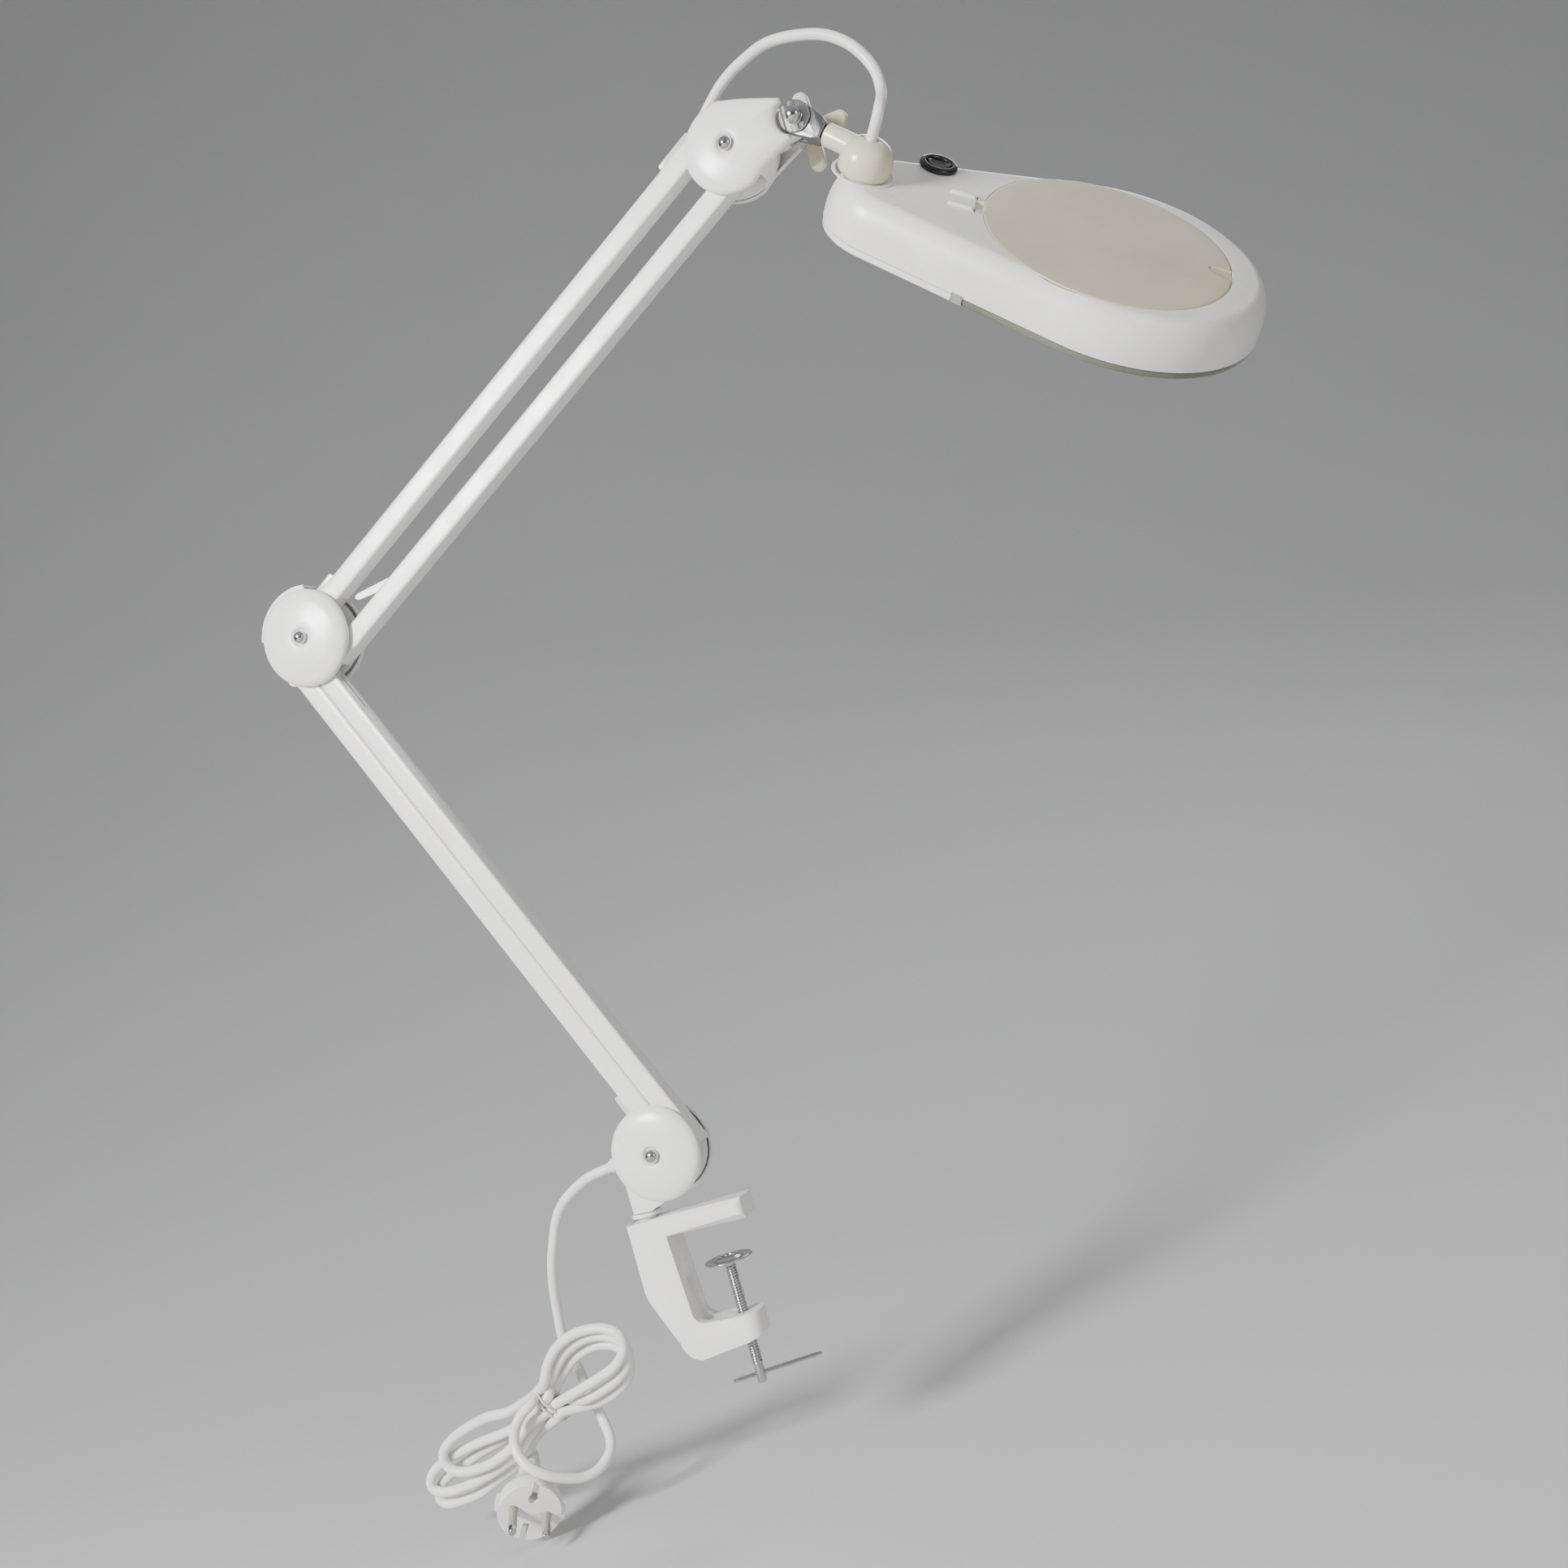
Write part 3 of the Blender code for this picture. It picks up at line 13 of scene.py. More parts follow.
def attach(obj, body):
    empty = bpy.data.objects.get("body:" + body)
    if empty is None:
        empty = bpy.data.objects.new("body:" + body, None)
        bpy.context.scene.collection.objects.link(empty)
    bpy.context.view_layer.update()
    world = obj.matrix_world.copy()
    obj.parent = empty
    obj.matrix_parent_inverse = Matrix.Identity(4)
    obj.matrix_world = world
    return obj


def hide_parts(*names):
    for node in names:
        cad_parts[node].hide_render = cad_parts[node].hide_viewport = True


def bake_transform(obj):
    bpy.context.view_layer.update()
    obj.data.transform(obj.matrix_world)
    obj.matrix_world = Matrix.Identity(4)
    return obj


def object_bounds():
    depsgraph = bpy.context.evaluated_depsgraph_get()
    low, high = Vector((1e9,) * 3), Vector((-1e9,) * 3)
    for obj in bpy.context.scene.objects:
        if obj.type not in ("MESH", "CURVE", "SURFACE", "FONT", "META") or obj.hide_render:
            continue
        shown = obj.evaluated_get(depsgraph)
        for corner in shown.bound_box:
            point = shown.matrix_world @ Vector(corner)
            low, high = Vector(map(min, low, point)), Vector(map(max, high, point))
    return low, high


MM = 0.001
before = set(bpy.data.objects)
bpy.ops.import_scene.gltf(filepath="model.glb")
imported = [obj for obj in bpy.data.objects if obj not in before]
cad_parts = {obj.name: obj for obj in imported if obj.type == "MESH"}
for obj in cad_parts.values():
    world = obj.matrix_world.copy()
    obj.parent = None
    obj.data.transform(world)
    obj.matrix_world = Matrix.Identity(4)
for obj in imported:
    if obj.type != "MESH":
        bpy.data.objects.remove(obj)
CAD_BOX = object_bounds()

# ---- driving dimensions, as in the part ----
GAP = 0.3
TUBE = 12.0
TUBE_WALL = 1.2
TUBE_PITCH = TUBE + GAP
ARM_SPAN = 356.0
TUBE_TAIL = 6.0
LOWER_LEAN = -25.0
UPPER_LEAN = 61.45
BASE_BOLT = (-18.4, 45.6)
LOWER_MAIN_FOOT = (7.5, 11.0)
LOWER_LINK_FOOT = (7.5 + TUBE_PITCH, -5.0)
ELBOW_FROM_FOOT = (19.8, 0.0)
UPPER_MAIN_FOOT = (-7.7, 10.0)
UPPER_LINK_FOOT = (20.8, 10.0)
HEAD_FROM_FOOT = (18.3, 8.0)

PLATE_IN = TUBE / 2 + 0.4
PLATE_OUT = PLATE_IN + 1.5
CAP_RIM = 8.2
CAP_TOP = 15.2
CAP_SEAT = 13.4
BASE_CAP_RADIUS = 27.0
ELBOW_CAP_RADIUS = 29.2
HEAD_CAP_RADIUS = 25.6
BOLT_RADIUS = 2.5
PIN_RADIUS = 2.0

CLAMP_HALF_WIDTH = 11.0
CLAMP_TOP = 12.0
JAW_DEPTH = -51.0
SPINE_IN = -25.0
SPINE_OUT = -47.0
BAR_END = 23.6
JAW_END = 14.8
SWIVEL_X = -38.0
SCREW_X = 3.0
SCREW_RADIUS = 3.0
SCREW_TAP = 3.35
THREAD_LOW = -80.0
THREAD_PITCH = 1.5
THREAD_DEPTH = 0.7
PAD_TOP = -19.0
PAD_RADIUS = 14.0
TOMMY_Z = -86.0
TOMMY_TURN = 27.0
TOMMY_HALF = 26.0
TOMMY_SHIFT = 10.0

KNUCKLE = (38.7, 1.0)
STEM_DROP = 46.0
STEM_REACH = 44.3
HEAD_ROLL = 34.0
HEAD_TURN = 22.0
HEAD_TOP = -11.0
HEAD_BOTTOM = -37.0
HEAD_WIDE = (148.0, 81.0)
HEAD_NARROW = (21.0, 37.0)
SHOULDER = (11.0, 22.0)
SHELL_WALL = 2.2
TOP_WALL = 3.4
RIM_THICKNESS = 4.0
LENS_CENTRE = 135.7
COVER_RADIUS = 69.0
LENS_RADIUS = 63.2
LIGHT_START = 63.0
RING_IN = 65.0
SWITCH_AT = (37.5, 34.0)
SWITCH_RADIUS = 10.7
SWITCH_HOLE = 8.9
HINGE_U = LENS_CENTRE - COVER_RADIUS - 2.2
HINGE_N = HEAD_TOP - 0.4

CORD_RADIUS = 3.0
CAMERA_LENS = 39.13
CAMERA_AT = (0.4101, -0.8777, 0.1650)
CAMERA_RIGHT = Vector((0.9042, 0.3256, -0.2764))
CAMERA_UP = Vector((0.2813, 0.0330, 0.9590))
FLOOR = CAD_BOX[0][2] / MM - 4.0


# ---- geometry helpers ----
TO_Y = Matrix.Rotation(math.radians(-90), 4, "X")


def shift(x, y, z):
    return Matrix.Translation((x, y, z))


def spin(degrees, axis):
    return Matrix.Rotation(math.radians(degrees), 4, axis)


def place_y(spot, lean=0.0):
    return shift(spot[0], 0.0, spot[1]) @ spin(lean, "Y")


def arm_point(origin, lean, offset):
    turn = math.radians(lean)
    across = Vector((math.cos(turn), -math.sin(turn)))
    along = Vector((math.sin(turn), math.cos(turn)))
    point = Vector(origin) + across * offset[0] + along * offset[1]
    return (point.x, point.y)


def circle(x, y, radius, count=64):
    turns = [2 * math.pi * k / count for k in range(count)]
    return [(x + radius * math.cos(t), y + radius * math.sin(t)) for t in turns]


def arc(x, y, radius, first, last, count):
    turns = [math.radians(first + (last - first) * k / (count - 1)) for k in range(count)]
    return [(x + radius * math.cos(t), y + radius * math.sin(t)) for t in turns]


def rect(left, right, low, high):
    return [(left, low), (right, low), (right, high), (left, high)]


def dome(radius, rise, base, turns, power=1.0):
    """(radius, height) points up the side of a dome."""
    angles = [math.radians(turn) for turn in turns]
    return [(radius * math.cos(a) ** power, base + rise * math.sin(a)) for a in angles]


def hull(points):
    """Convex outline round a set of points."""
    ordered = sorted(set(points))
    chains = []
    for run in (ordered, ordered[::-1]):
        chain = []
        for p in run:
            while len(chain) > 1:
                a, b = chain[-2], chain[-1]
                if (b[0] - a[0]) * (p[1] - a[1]) - (b[1] - a[1]) * (p[0] - a[0]) > 1e-6:
                    break
                chain.pop()
            chain.append(p)
        chains += chain[:-1]
    return chains


def filleted(points, radius, steps=4, closed=True):
    """Corners of a line rounded; a third number in a point is its own radius."""
    out = []
    count = len(points)
    for k, point in enumerate(points):
        here = Vector(point[:2])
        size = point[2] if len(point) > 2 else radius
        if not closed and k in (0, count - 1) or size <= 0:
            out.append(tuple(here))
            continue
        before = Vector(points[k - 1][:2]) - here
        after = Vector(points[(k + 1) % count][:2]) - here
        reach = min(size, 0.48 * before.length, 0.48 * after.length)
        start = here + before.normalized() * reach
        end = here + after.normalized() * reach
        for i in range(steps + 1):
            t = i / steps
            out.append(tuple(start * (1 - t) ** 2 + here * 2 * t * (1 - t) + end * t ** 2))
    return out


def smooth_points(points, step):
    """Points at even steps on a smooth curve through the given ones."""
    route = [Vector(p) for p in points]
    route = [route[0] * 2 - route[1]] + route + [route[-1] * 2 - route[-2]]
    fine = []
    for a, b, c, d in zip(route, route[1:], route[2:], route[3:]):
        for k in range(16):
            t = k / 16
            fine.append(0.5 * (2 * b + (c - a) * t + (2 * a - 5 * b + 4 * c - d) * t * t
                + (3 * b - a - 3 * c + d) * t ** 3))
    fine.append(route[-2])
    length = sum((q - p).length for p, q in zip(fine, fine[1:]))
    count = max(3, round(length / step))
    samples = [fine[0]]
    walked = 0.0
    for p, q in zip(fine, fine[1:]):
        gap = (q - p).length
        while len(samples) < count and walked + gap >= length * len(samples) / count:
            samples.append(p.lerp(q, (length * len(samples) / count - walked) / max(gap, 1e-9)))
        walked += gap
    samples.append(fine[-1])
    return samples


def path_length(points):
    return sum((q - p).length for p, q in zip(points, points[1:]))


def loft(rings, closed=False):
    """Skin through rings of equal size, with end caps or closed on itself."""
    size = len(rings[0])
    total = size * len(rings)
    verts = [Vector(p) for ring in rings for p in ring]
    faces = []
    for low in range(0, total if closed else total - size, size):
        high = (low + size) % total
        for k in range(size):
            n = (k + 1) % size
            faces.append((low + k, low + n, high + n, high + k))
    if not closed:
        faces += [tuple(range(size)), tuple(range(total - size, total))]
    return verts, faces


def lathe(profile, segments=72):
    """(radius, height) points turned about +z; a radius of 0 makes a pole."""
    verts = []
    rings = []
    for radius, height in profile:
        if radius <= 1e-6:
            rings.append([len(verts)])
            verts.append(Vector((0, 0, height)))
            continue
        rings.append(list(range(len(verts), len(verts) + segments)))
        verts += [Vector((x, y, height)) for x, y in circle(0, 0, radius, segments)]
    faces = []
    pairs = list(zip(rings, rings[1:]))
    if len(rings[0]) > 1 or len(rings[-1]) > 1:
        pairs.append((rings[-1], rings[0]))
    for low, high in pairs:
        if len(low) == 1 and len(high) == 1:
            continue
        for k in range(segments):
            n = (k + 1) % segments
            if len(low) == 1:
                faces.append((low[0], high[k], high[n]))
            elif len(high) == 1:
                faces.append((low[k], high[0], low[n]))
            else:
                faces.append((low[k], high[k], high[n], low[n]))
    return verts, faces


def rod(radius, low, high, segments=40):
    return lathe([(0, low), (radius, low), (radius, high), (0, high)], segments)


def turned(profile, radius, steps, segments):
    """Solid of revolution from an open profile with rounded corners."""
    return lathe(filleted(profile, radius, steps, False), segments)


def prism(outline, low, high):
    """Flat plate in the xz plane, thickness along y."""
    loop = list(outline)
    if sum(a[0] * b[1] - b[0] * a[1] for a, b in zip(loop, loop[1:] + loop[:1])) <= 0:
        loop.reverse()
    count = len(loop)
    verts = [Vector((x, y, z)) for y in (low, high) for x, z in loop]
    faces = [tuple(range(count)), tuple(range(2 * count - 1, count - 1, -1))]
    faces += [(k, (k + 1) % count, (k + 1) % count + count, k + count) for k in range(count)]
    return verts, faces


def slab(outline, low, high):
    """Flat plate in the xy plane, thickness along z."""
    verts, faces = prism(outline, low, high)
    return [Vector((v.x, v.z, v.y)) for v in verts], faces


def moved(mesh, matrix):
    verts, faces = mesh
    return [matrix @ Vector(v) for v in verts], faces


def joined(*meshes):
    verts = []
    faces = []
    for some, more in meshes:
        start = len(verts)
        verts += some
        faces += [tuple(i + start for i in face) for face in more]
    return verts, faces


def tube_along(points, radius, sides=20, flat=1.0):
    """Round tube along a line, ends capped; flat squeezes it across its bend's normal."""
    side = None
    rings = []
    for k, point in enumerate(points):
        ahead = (points[min(k + 1, len(points) - 1)] - points[max(k - 1, 0)]).normalized()
        if side is None:
            side = ahead.orthogonal().normalized()
        side = (side - ahead * side.dot(ahead)).normalized()
        other = ahead.cross(side)
        rings.append([point + side * (x * radius) + other * (y * radius * flat) for x,
            y in circle(0, 0, 1.0, sides)])
    return loft(rings)


def build_mesh(name, mesh, place=None, angle=32):
    """Object with its place in its vertices, shaded smooth below the angle."""
    verts, faces = mesh
    matrix = Matrix.Scale(MM, 4) @ (place or Matrix.Identity(4))
    data = bpy.data.meshes.new(name)
    data.from_pydata([matrix @ Vector(v) for v in verts], [], faces)
    bm = bmesh.new()
    bm.from_mesh(data)
    bmesh.ops.remove_doubles(bm, verts=bm.verts, dist=1e-7)
    bmesh.ops.recalc_face_normals(bm, faces=bm.faces)
    bm.to_mesh(data)
    bm.free()
    obj = bpy.data.objects.new(name, data)
    bpy.context.collection.objects.link(obj)
    shade(obj, angle)
    return obj


def shade(obj, angle=32):
    obj.data.shade_smooth()
    obj.data.set_sharp_from_angle(angle=math.radians(angle))


def settle(obj, angle=32):
    """Applies the object's modifiers."""
    view = bpy.context.evaluated_depsgraph_get()
    data = bpy.data.meshes.new_from_object(obj.evaluated_get(view))
    obj.modifiers.clear()
    obj.data = data
    shade(obj, angle)


def carve(obj, cutters, operation="DIFFERENCE", angle=32):
    """Booleans with meshes in world millimetres, applied."""
    tools = []
    for mesh in cutters:
        tool = build_mesh("tool", mesh)
        step = obj.modifiers.new("carve", "BOOLEAN")
        step.operation = operation
        step.object = tool
        tools.append(tool)
    settle(obj, angle)
    for tool in tools:
        bpy.data.objects.remove(tool, do_unlink=True)


def bevelled(obj, width, segments=3, limit=30, angle=32):
    step = obj.modifiers.new("bevel", "BEVEL")
    step.width = width * MM
    step.segments = segments
    step.limit_method = "ANGLE"
    step.angle_limit = math.radians(limit)
    settle(obj, angle)


def place_piece(obj, body, look, slot, *nodes):
    """Material, body and the plain solids that the piece stands for; the slot argument is not used."""
    obj.data.materials.clear()
    obj.data.materials.append(look)
    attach(obj, body)
    if nodes:
        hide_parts(*nodes)
    return obj


# ---- places of the joints ----
SPAN = (0.0, ARM_SPAN)
P_MAIN = arm_point(BASE_BOLT, LOWER_LEAN, LOWER_MAIN_FOOT)
P_LINK = arm_point(BASE_BOLT, LOWER_LEAN, LOWER_LINK_FOOT)
Q_MAIN = arm_point(P_MAIN, LOWER_LEAN, SPAN)
Q_LINK = arm_point(P_LINK, LOWER_LEAN, SPAN)
ELBOW_BOLT = arm_point(Q_MAIN, LOWER_LEAN, ELBOW_FROM_FOOT)
R_MAIN = arm_point(ELBOW_BOLT, UPPER_LEAN, UPPER_MAIN_FOOT)
R_LINK = arm_point(ELBOW_BOLT, UPPER_LEAN, UPPER_LINK_FOOT)
S_MAIN = arm_point(R_MAIN, UPPER_LEAN, SPAN)
S_LINK = arm_point(R_LINK, UPPER_LEAN, SPAN)
HEAD_BOLT = arm_point(S_MAIN, UPPER_LEAN, HEAD_FROM_FOOT)
KNUCKLE_AT = (HEAD_BOLT[0] + KNUCKLE[0], HEAD_BOLT[1] + KNUCKLE[1])
STEM_FRAME = place_y(KNUCKLE_AT, STEM_DROP)
DOME_FRAME = STEM_FRAME @ shift(STEM_REACH, 0, 0) @ spin(HEAD_ROLL, "X")
HEAD_FRAME = DOME_FRAME @ spin(HEAD_TURN, "Z")
BASE_FRAME = place_y(BASE_BOLT)
ELBOW_FRAME = place_y(ELBOW_BOLT)
MOUNT_FRAME = place_y(HEAD_BOLT)
LOWER_MAIN = place_y(P_MAIN, LOWER_LEAN)
LOWER_LINK = place_y(P_LINK, LOWER_LEAN)
UPPER_MAIN = place_y(R_MAIN, UPPER_LEAN)
UPPER_LINK = place_y(R_LINK, UPPER_LEAN)


# ---- materials ----
class Look:
    """A material's node tree, written from object coordinates."""

    def __init__(self, name, colour, roughness, metallic=0.0):
        self.material = bpy.data.materials.new(name)
        self.material.use_nodes = True
        self.material.diffuse_color = (*colour, 1.0)
        self.tree = self.material.node_tree
        self.shader = self.tree.nodes["Principled BSDF"]
        self.set("Base Color", (*colour, 1.0))
        self.set("Roughness", roughness)
        self.set("Metallic", metallic)
        self.coords = self.node("ShaderNodeTexCoord", {}).outputs["Object"]

    def set(self, socket, value):
        self.shader.inputs[socket].default_value = value

    def node(self, kind, inputs, **settings):
        """New node; an input is a number, a colour or another node's output."""
        made = self.tree.nodes.new(kind)
        for key, value in settings.items():
            setattr(made, key, value)
        for key, value in inputs.items():
            if isinstance(value, bpy.types.NodeSocket):
                self.tree.links.new(value, made.inputs[key])
            else:
                made.inputs[key].default_value = value
        return made

    def stretched(self, scale, turn):
        inputs = {"Scale": scale, "Rotation": [math.radians(t) for t in turn], "Vector": self.coords}
        return self.node("ShaderNodeMapping", inputs).outputs["Vector"]

    def noise(self, scale, detail=3.0, rough=0.55, vector=None):
        inputs = {"Scale": scale, "Detail": detail, "Roughness": rough, "Vector": vector or self.coords}
        return self.node("ShaderNodeTexNoise", inputs).outputs["Fac"]

    def cracks(self, scale, vector):
        inputs = {"Scale": scale, "Vector": vector}
        return self.node("ShaderNodeTexVoronoi", inputs, feature="DISTANCE_TO_EDGE").outputs["Distance"]

    def span(self, value, low, high, to_low=0.0, to_high=1.0):
        inputs = {"Value": value, "From Min": low, "From Max": high, "To Min": to_low, "To Max": to_high}
        return self.node("ShaderNodeMapRange", inputs, interpolation_type="SMOOTHSTEP").outputs["Result"]

    def sum(self, a, b, operation="ADD"):
        return self.node("ShaderNodeMath", {0: a, 1: b}, operation=operation).outputs[0]

    def times(self, a, b):
        return self.sum(a, b, "MULTIPLY")

    def mix(self, share, first, second):
        tones = [(*tone, 1.0) if isinstance(tone, tuple) else tone for tone in (first, second)]
        return self.node("ShaderNodeMix", {0: share, 6: tones[0], 7: tones[1]}, data_type="RGBA").outputs[2]

    def patches(self, noise, low, high, to_low=0.0, to_high=1.0):
        """Noise cut between two levels."""
        return self.span(self.noise(*noise), low, high, to_low, to_high)

    def scratches(self, scale, stretch, turn, width):
        return self.span(self.cracks(scale, self.stretched(stretch, turn)), 0.0, width, 1.0, 0.0)

    def paint(self, out):
        self.tree.links.new(out, self.shader.inputs["Base Color"])

    def gloss(self, out):
        self.tree.links.new(out, self.shader.inputs["Roughness"])

    def bump(self, height, strength, distance):
        made = self.node("ShaderNodeBump", {"Strength": strength, "Distance": distance, "Height": height})
        self.tree.links.new(made.outputs["Normal"], self.shader.inputs["Normal"])


def shaded(colour, factor):
    return tuple(c * factor for c in colour)


def enamel(name, colour):
    """Glossy coat with orange peel, faint yellowing, grime specks and hairline scuffs."""
    look = Look(name, colour, 0.27)
    look.set("Coat Weight", 0.25)
    look.set("Coat Roughness", 0.18)
    ageing = look.patches((14.0, 4.0), 0.42, 0.75, 0.0, 0.35)
    tone = look.mix(ageing, colour, tuple(c * y for c, y in zip(colour, (1.02, 0.99, 0.91))))
    dirt = look.patches((260.0, 6.0, 0.7), 0.69, 0.76, 0.0, 0.45)
    tone = look.mix(dirt, tone, shaded((0.86, 0.82, 0.70), 0.38))
    lines = look.scratches(46.0, (1.0, 1.0, 0.22), (20, 35, 10), 0.012)
    patch = look.patches((22.0, 2.0), 0.60, 0.68)
    tone = look.mix(look.times(look.times(lines, patch), 0.35), tone, shaded(colour, 0.55))
    look.paint(tone)
    look.gloss(look.patches((90.0, 4.0), 0.35, 0.7, 0.23, 0.36))
    look.bump(look.noise(1500.0, 2.0), 0.12, 0.0004)
    return look.material


def moulded(name, colour, roughness, grain=0.10, marks=0.3, coat=0.0):
    """Moulded plastic with a fine grain, uneven tone, rubbed spots and small dark marks."""
    look = Look(name, colour, roughness)
    if coat:
        look.set("Coat Weight", coat)
        look.set("Coat Roughness", 0.2)
    tone = look.mix(look.patches((18.0, 5.0), 0.35, 0.72), shaded(colour, 1.03), shaded(colour, 0.93))
    marks_at = look.patches((190.0, 5.0, 0.65), 0.70, 0.77, 0.0, marks)
    tone = look.mix(marks_at, tone, shaded(colour, 0.42))
    lines = look.scratches(30.0, (1.0, 0.25, 1.0), (0, 30, 50), 0.008)
    patch = look.patches((17.0, 2.0), 0.58, 0.66)
    tone = look.mix(look.times(look.times(lines, patch), marks), tone, shaded(colour, 0.6))
    look.paint(tone)
    look.gloss(look.patches((60.0, 5.0), 0.3, 0.75, roughness - 0.05, roughness + 0.09))
    look.bump(look.noise(2600.0, 2.0), grain, 0.0003)
    return look.material


def plated(name, colour, roughness, dull=0.5):
    """Bright plating with tarnished patches and fine rubbed lines."""
    look = Look(name, colour, roughness, 1.0)
    tarnish = look.patches((160.0, 6.0, 0.65), 0.52, 0.74, 0.0, dull)
    look.paint(look.mix(tarnish, colour, shaded((0.95, 0.86, 0.74), 0.45)))
    brushed = look.noise(420.0, 3.0, 0.6, look.stretched((1.0, 1.0, 0.08), (0, 20, 0)))
    look.gloss(look.sum(look.span(brushed, 0.3, 0.7, roughness, roughness + 0.16),
        look.times(tarnish, 0.25)))
    look.bump(look.noise(900.0, 4.0), 0.08, 0.0002)
    return look.material


def sheath():
    """Flexible cable sheath: soft gloss, faint ripple, handled grime."""
    colour = (0.80, 0.79, 0.75)
    look = Look("cable_sheath", colour, 0.36)
    look.set("Subsurface Weight", 0.05)
    look.set("Subsurface Scale", 0.002)
    grime = look.patches((55.0, 6.0, 0.7), 0.55, 0.74, 0.0, 0.30)
    tone = look.mix(grime, colour, (0.58, 0.55, 0.46))
    spots = look.patches((420.0, 4.0, 0.7), 0.72, 0.78, 0.0, 0.5)
    look.paint(look.mix(spots, tone, (0.30, 0.27, 0.22)))
    look.gloss(look.patches((70.0, 3.0), 0.3, 0.7, 0.30, 0.46))
    look.bump(look.noise(650.0, 3.0), 0.12, 0.0004)
    return look.material


def clear(name, colour, roughness, transmission, tint):
    """See-through plastic or glass with faint smears."""
    look = Look(name, colour, roughness)
    look.set("Transmission Weight", transmission)
    look.set("IOR", 1.49)
    look.paint(look.mix(look.patches((40.0, 4.0), 0.45, 0.75, 0.0, 0.6), colour, tint))
    look.gloss(look.patches((70.0, 5.0), 0.45, 0.75, roughness, roughness + 0.12))
    look.bump(look.noise(300.0, 2.0), 0.02, 0.0002)
    return look.material


def simple(name, colour, roughness, tones, tone_noise, grain, gloss=None):
    """Two tones of noise, a fine grain, and uneven gloss where it is given."""
    look = Look(name, colour, roughness)
    look.paint(look.mix(look.noise(*tone_noise), *tones))
    if gloss:
        look.gloss(look.patches(gloss[0], 0.3, 0.7, *gloss[1]))
    if grain:
        look.bump(look.noise(*grain[0]), grain[1], 0.0003)
    return look.material


WHITE = enamel("white_enamel", (0.84, 0.83, 0.80))
STEEL = plated("zinc_plate", (0.56, 0.56, 0.55), 0.30)
SPRING = plated("spring_wire", (0.34, 0.34, 0.34), 0.32, 0.6)
CHROME = plated("bright_plate", (0.50, 0.50, 0.49), 0.08, 0.3)
CAST = plated("zinc_casting", (0.27, 0.27, 0.27), 0.22, 0.3)
CREAM = moulded("cream_moulding", (0.68, 0.625, 0.455), 0.24, 0.05, 0.15, 0.35)
COVER = moulded("beige_lid", (0.56, 0.505, 0.36), 0.38, 0.14, 0.25)
SHELL = moulded("white_moulding", (0.80, 0.785, 0.74), 0.30, 0.07, 0.35, 0.2)
BLACK = moulded("black_moulding", (0.013, 0.013, 0.014), 0.22, 0.06, 0.2)
SLEEVE = moulded("pin_sleeve", (0.36, 0.33, 0.26), 0.30, 0.05, 0.2)
CABLE = sheath()
GLASS = clear("lens_glass", (0.93, 0.97, 0.95), 0.015, 1.0, (0.90, 0.95, 0.92))
SMOKE = clear("rim_diffuser", (0.27, 0.28, 0.21), 0.14, 0.40, (0.20, 0.21, 0.15))
BAND = simple("rubber_band", (0.68, 0.63, 0.52), 0.5, ((0.74, 0.69, 0.58), (0.60, 0.54, 0.42)),
    (350.0, 4.0), ((1800.0, 3.0), 0.3), ((500.0, 3.0), (0.42, 0.6)))
BOARD = simple("lamp_board", (0.72, 0.74, 0.68), 0.5, ((0.76, 0.78, 0.72), (0.62, 0.64, 0.58)),
    (200.0, 3.0), ((1200.0, 2.0), 0.1))
PHOSPHOR = simple("phosphor", (0.85, 0.62, 0.12), 0.35, ((0.88, 0.66, 0.14), (0.78, 0.52, 0.08)),
    (900.0, 2.0), None, ((700.0, 2.0), (0.3, 0.45)))


# ---- clamp ----
def clamp_chamfers(side):
    """Wedges off the clamp's long edges and its bars' corners, on one side."""
    edge = CLAMP_HALF_WIDTH + 1.0
    high = CLAMP_TOP + 1.0
    bar = []
    for x, drop in ((SPINE_OUT - 1.0, 0.2), (SPINE_IN - 2.0, 5.6), (30.0, 2.2)):
        bar.append([(x, side * edge, CLAMP_TOP - drop - 1.0), (x, side * edge, high),
            (x, side * (edge - drop - 2.0), high)])
    under = []
    for x, rise in ((SPINE_IN + 0.1, 0.4), (30.0, 4.2)):
        under.append([(x, side * edge, rise + 1.0), (x, side * edge, -1.0),
            (x, side * (edge - rise - 2.0), -1.0)])
    wedges = [loft(bar), loft(under)]
    for end, radius, low, above in ((BAR_END, 4.0, -5.0, 20.0), (JAW_END, 8.5, -75.0, -45.0)):
        start = CLAMP_HALF_WIDTH - radius
        round_edge = [(x, side * y) for x, y in arc(end - radius, start, radius, 0, 90, 10)]
        corner = [(end + 1.0, side * start)] + round_edge
        corner += [(end - radius, side * edge), (end + 1.0, side * edge)]
        wedges.append(slab(corner, low, above))
    return wedges


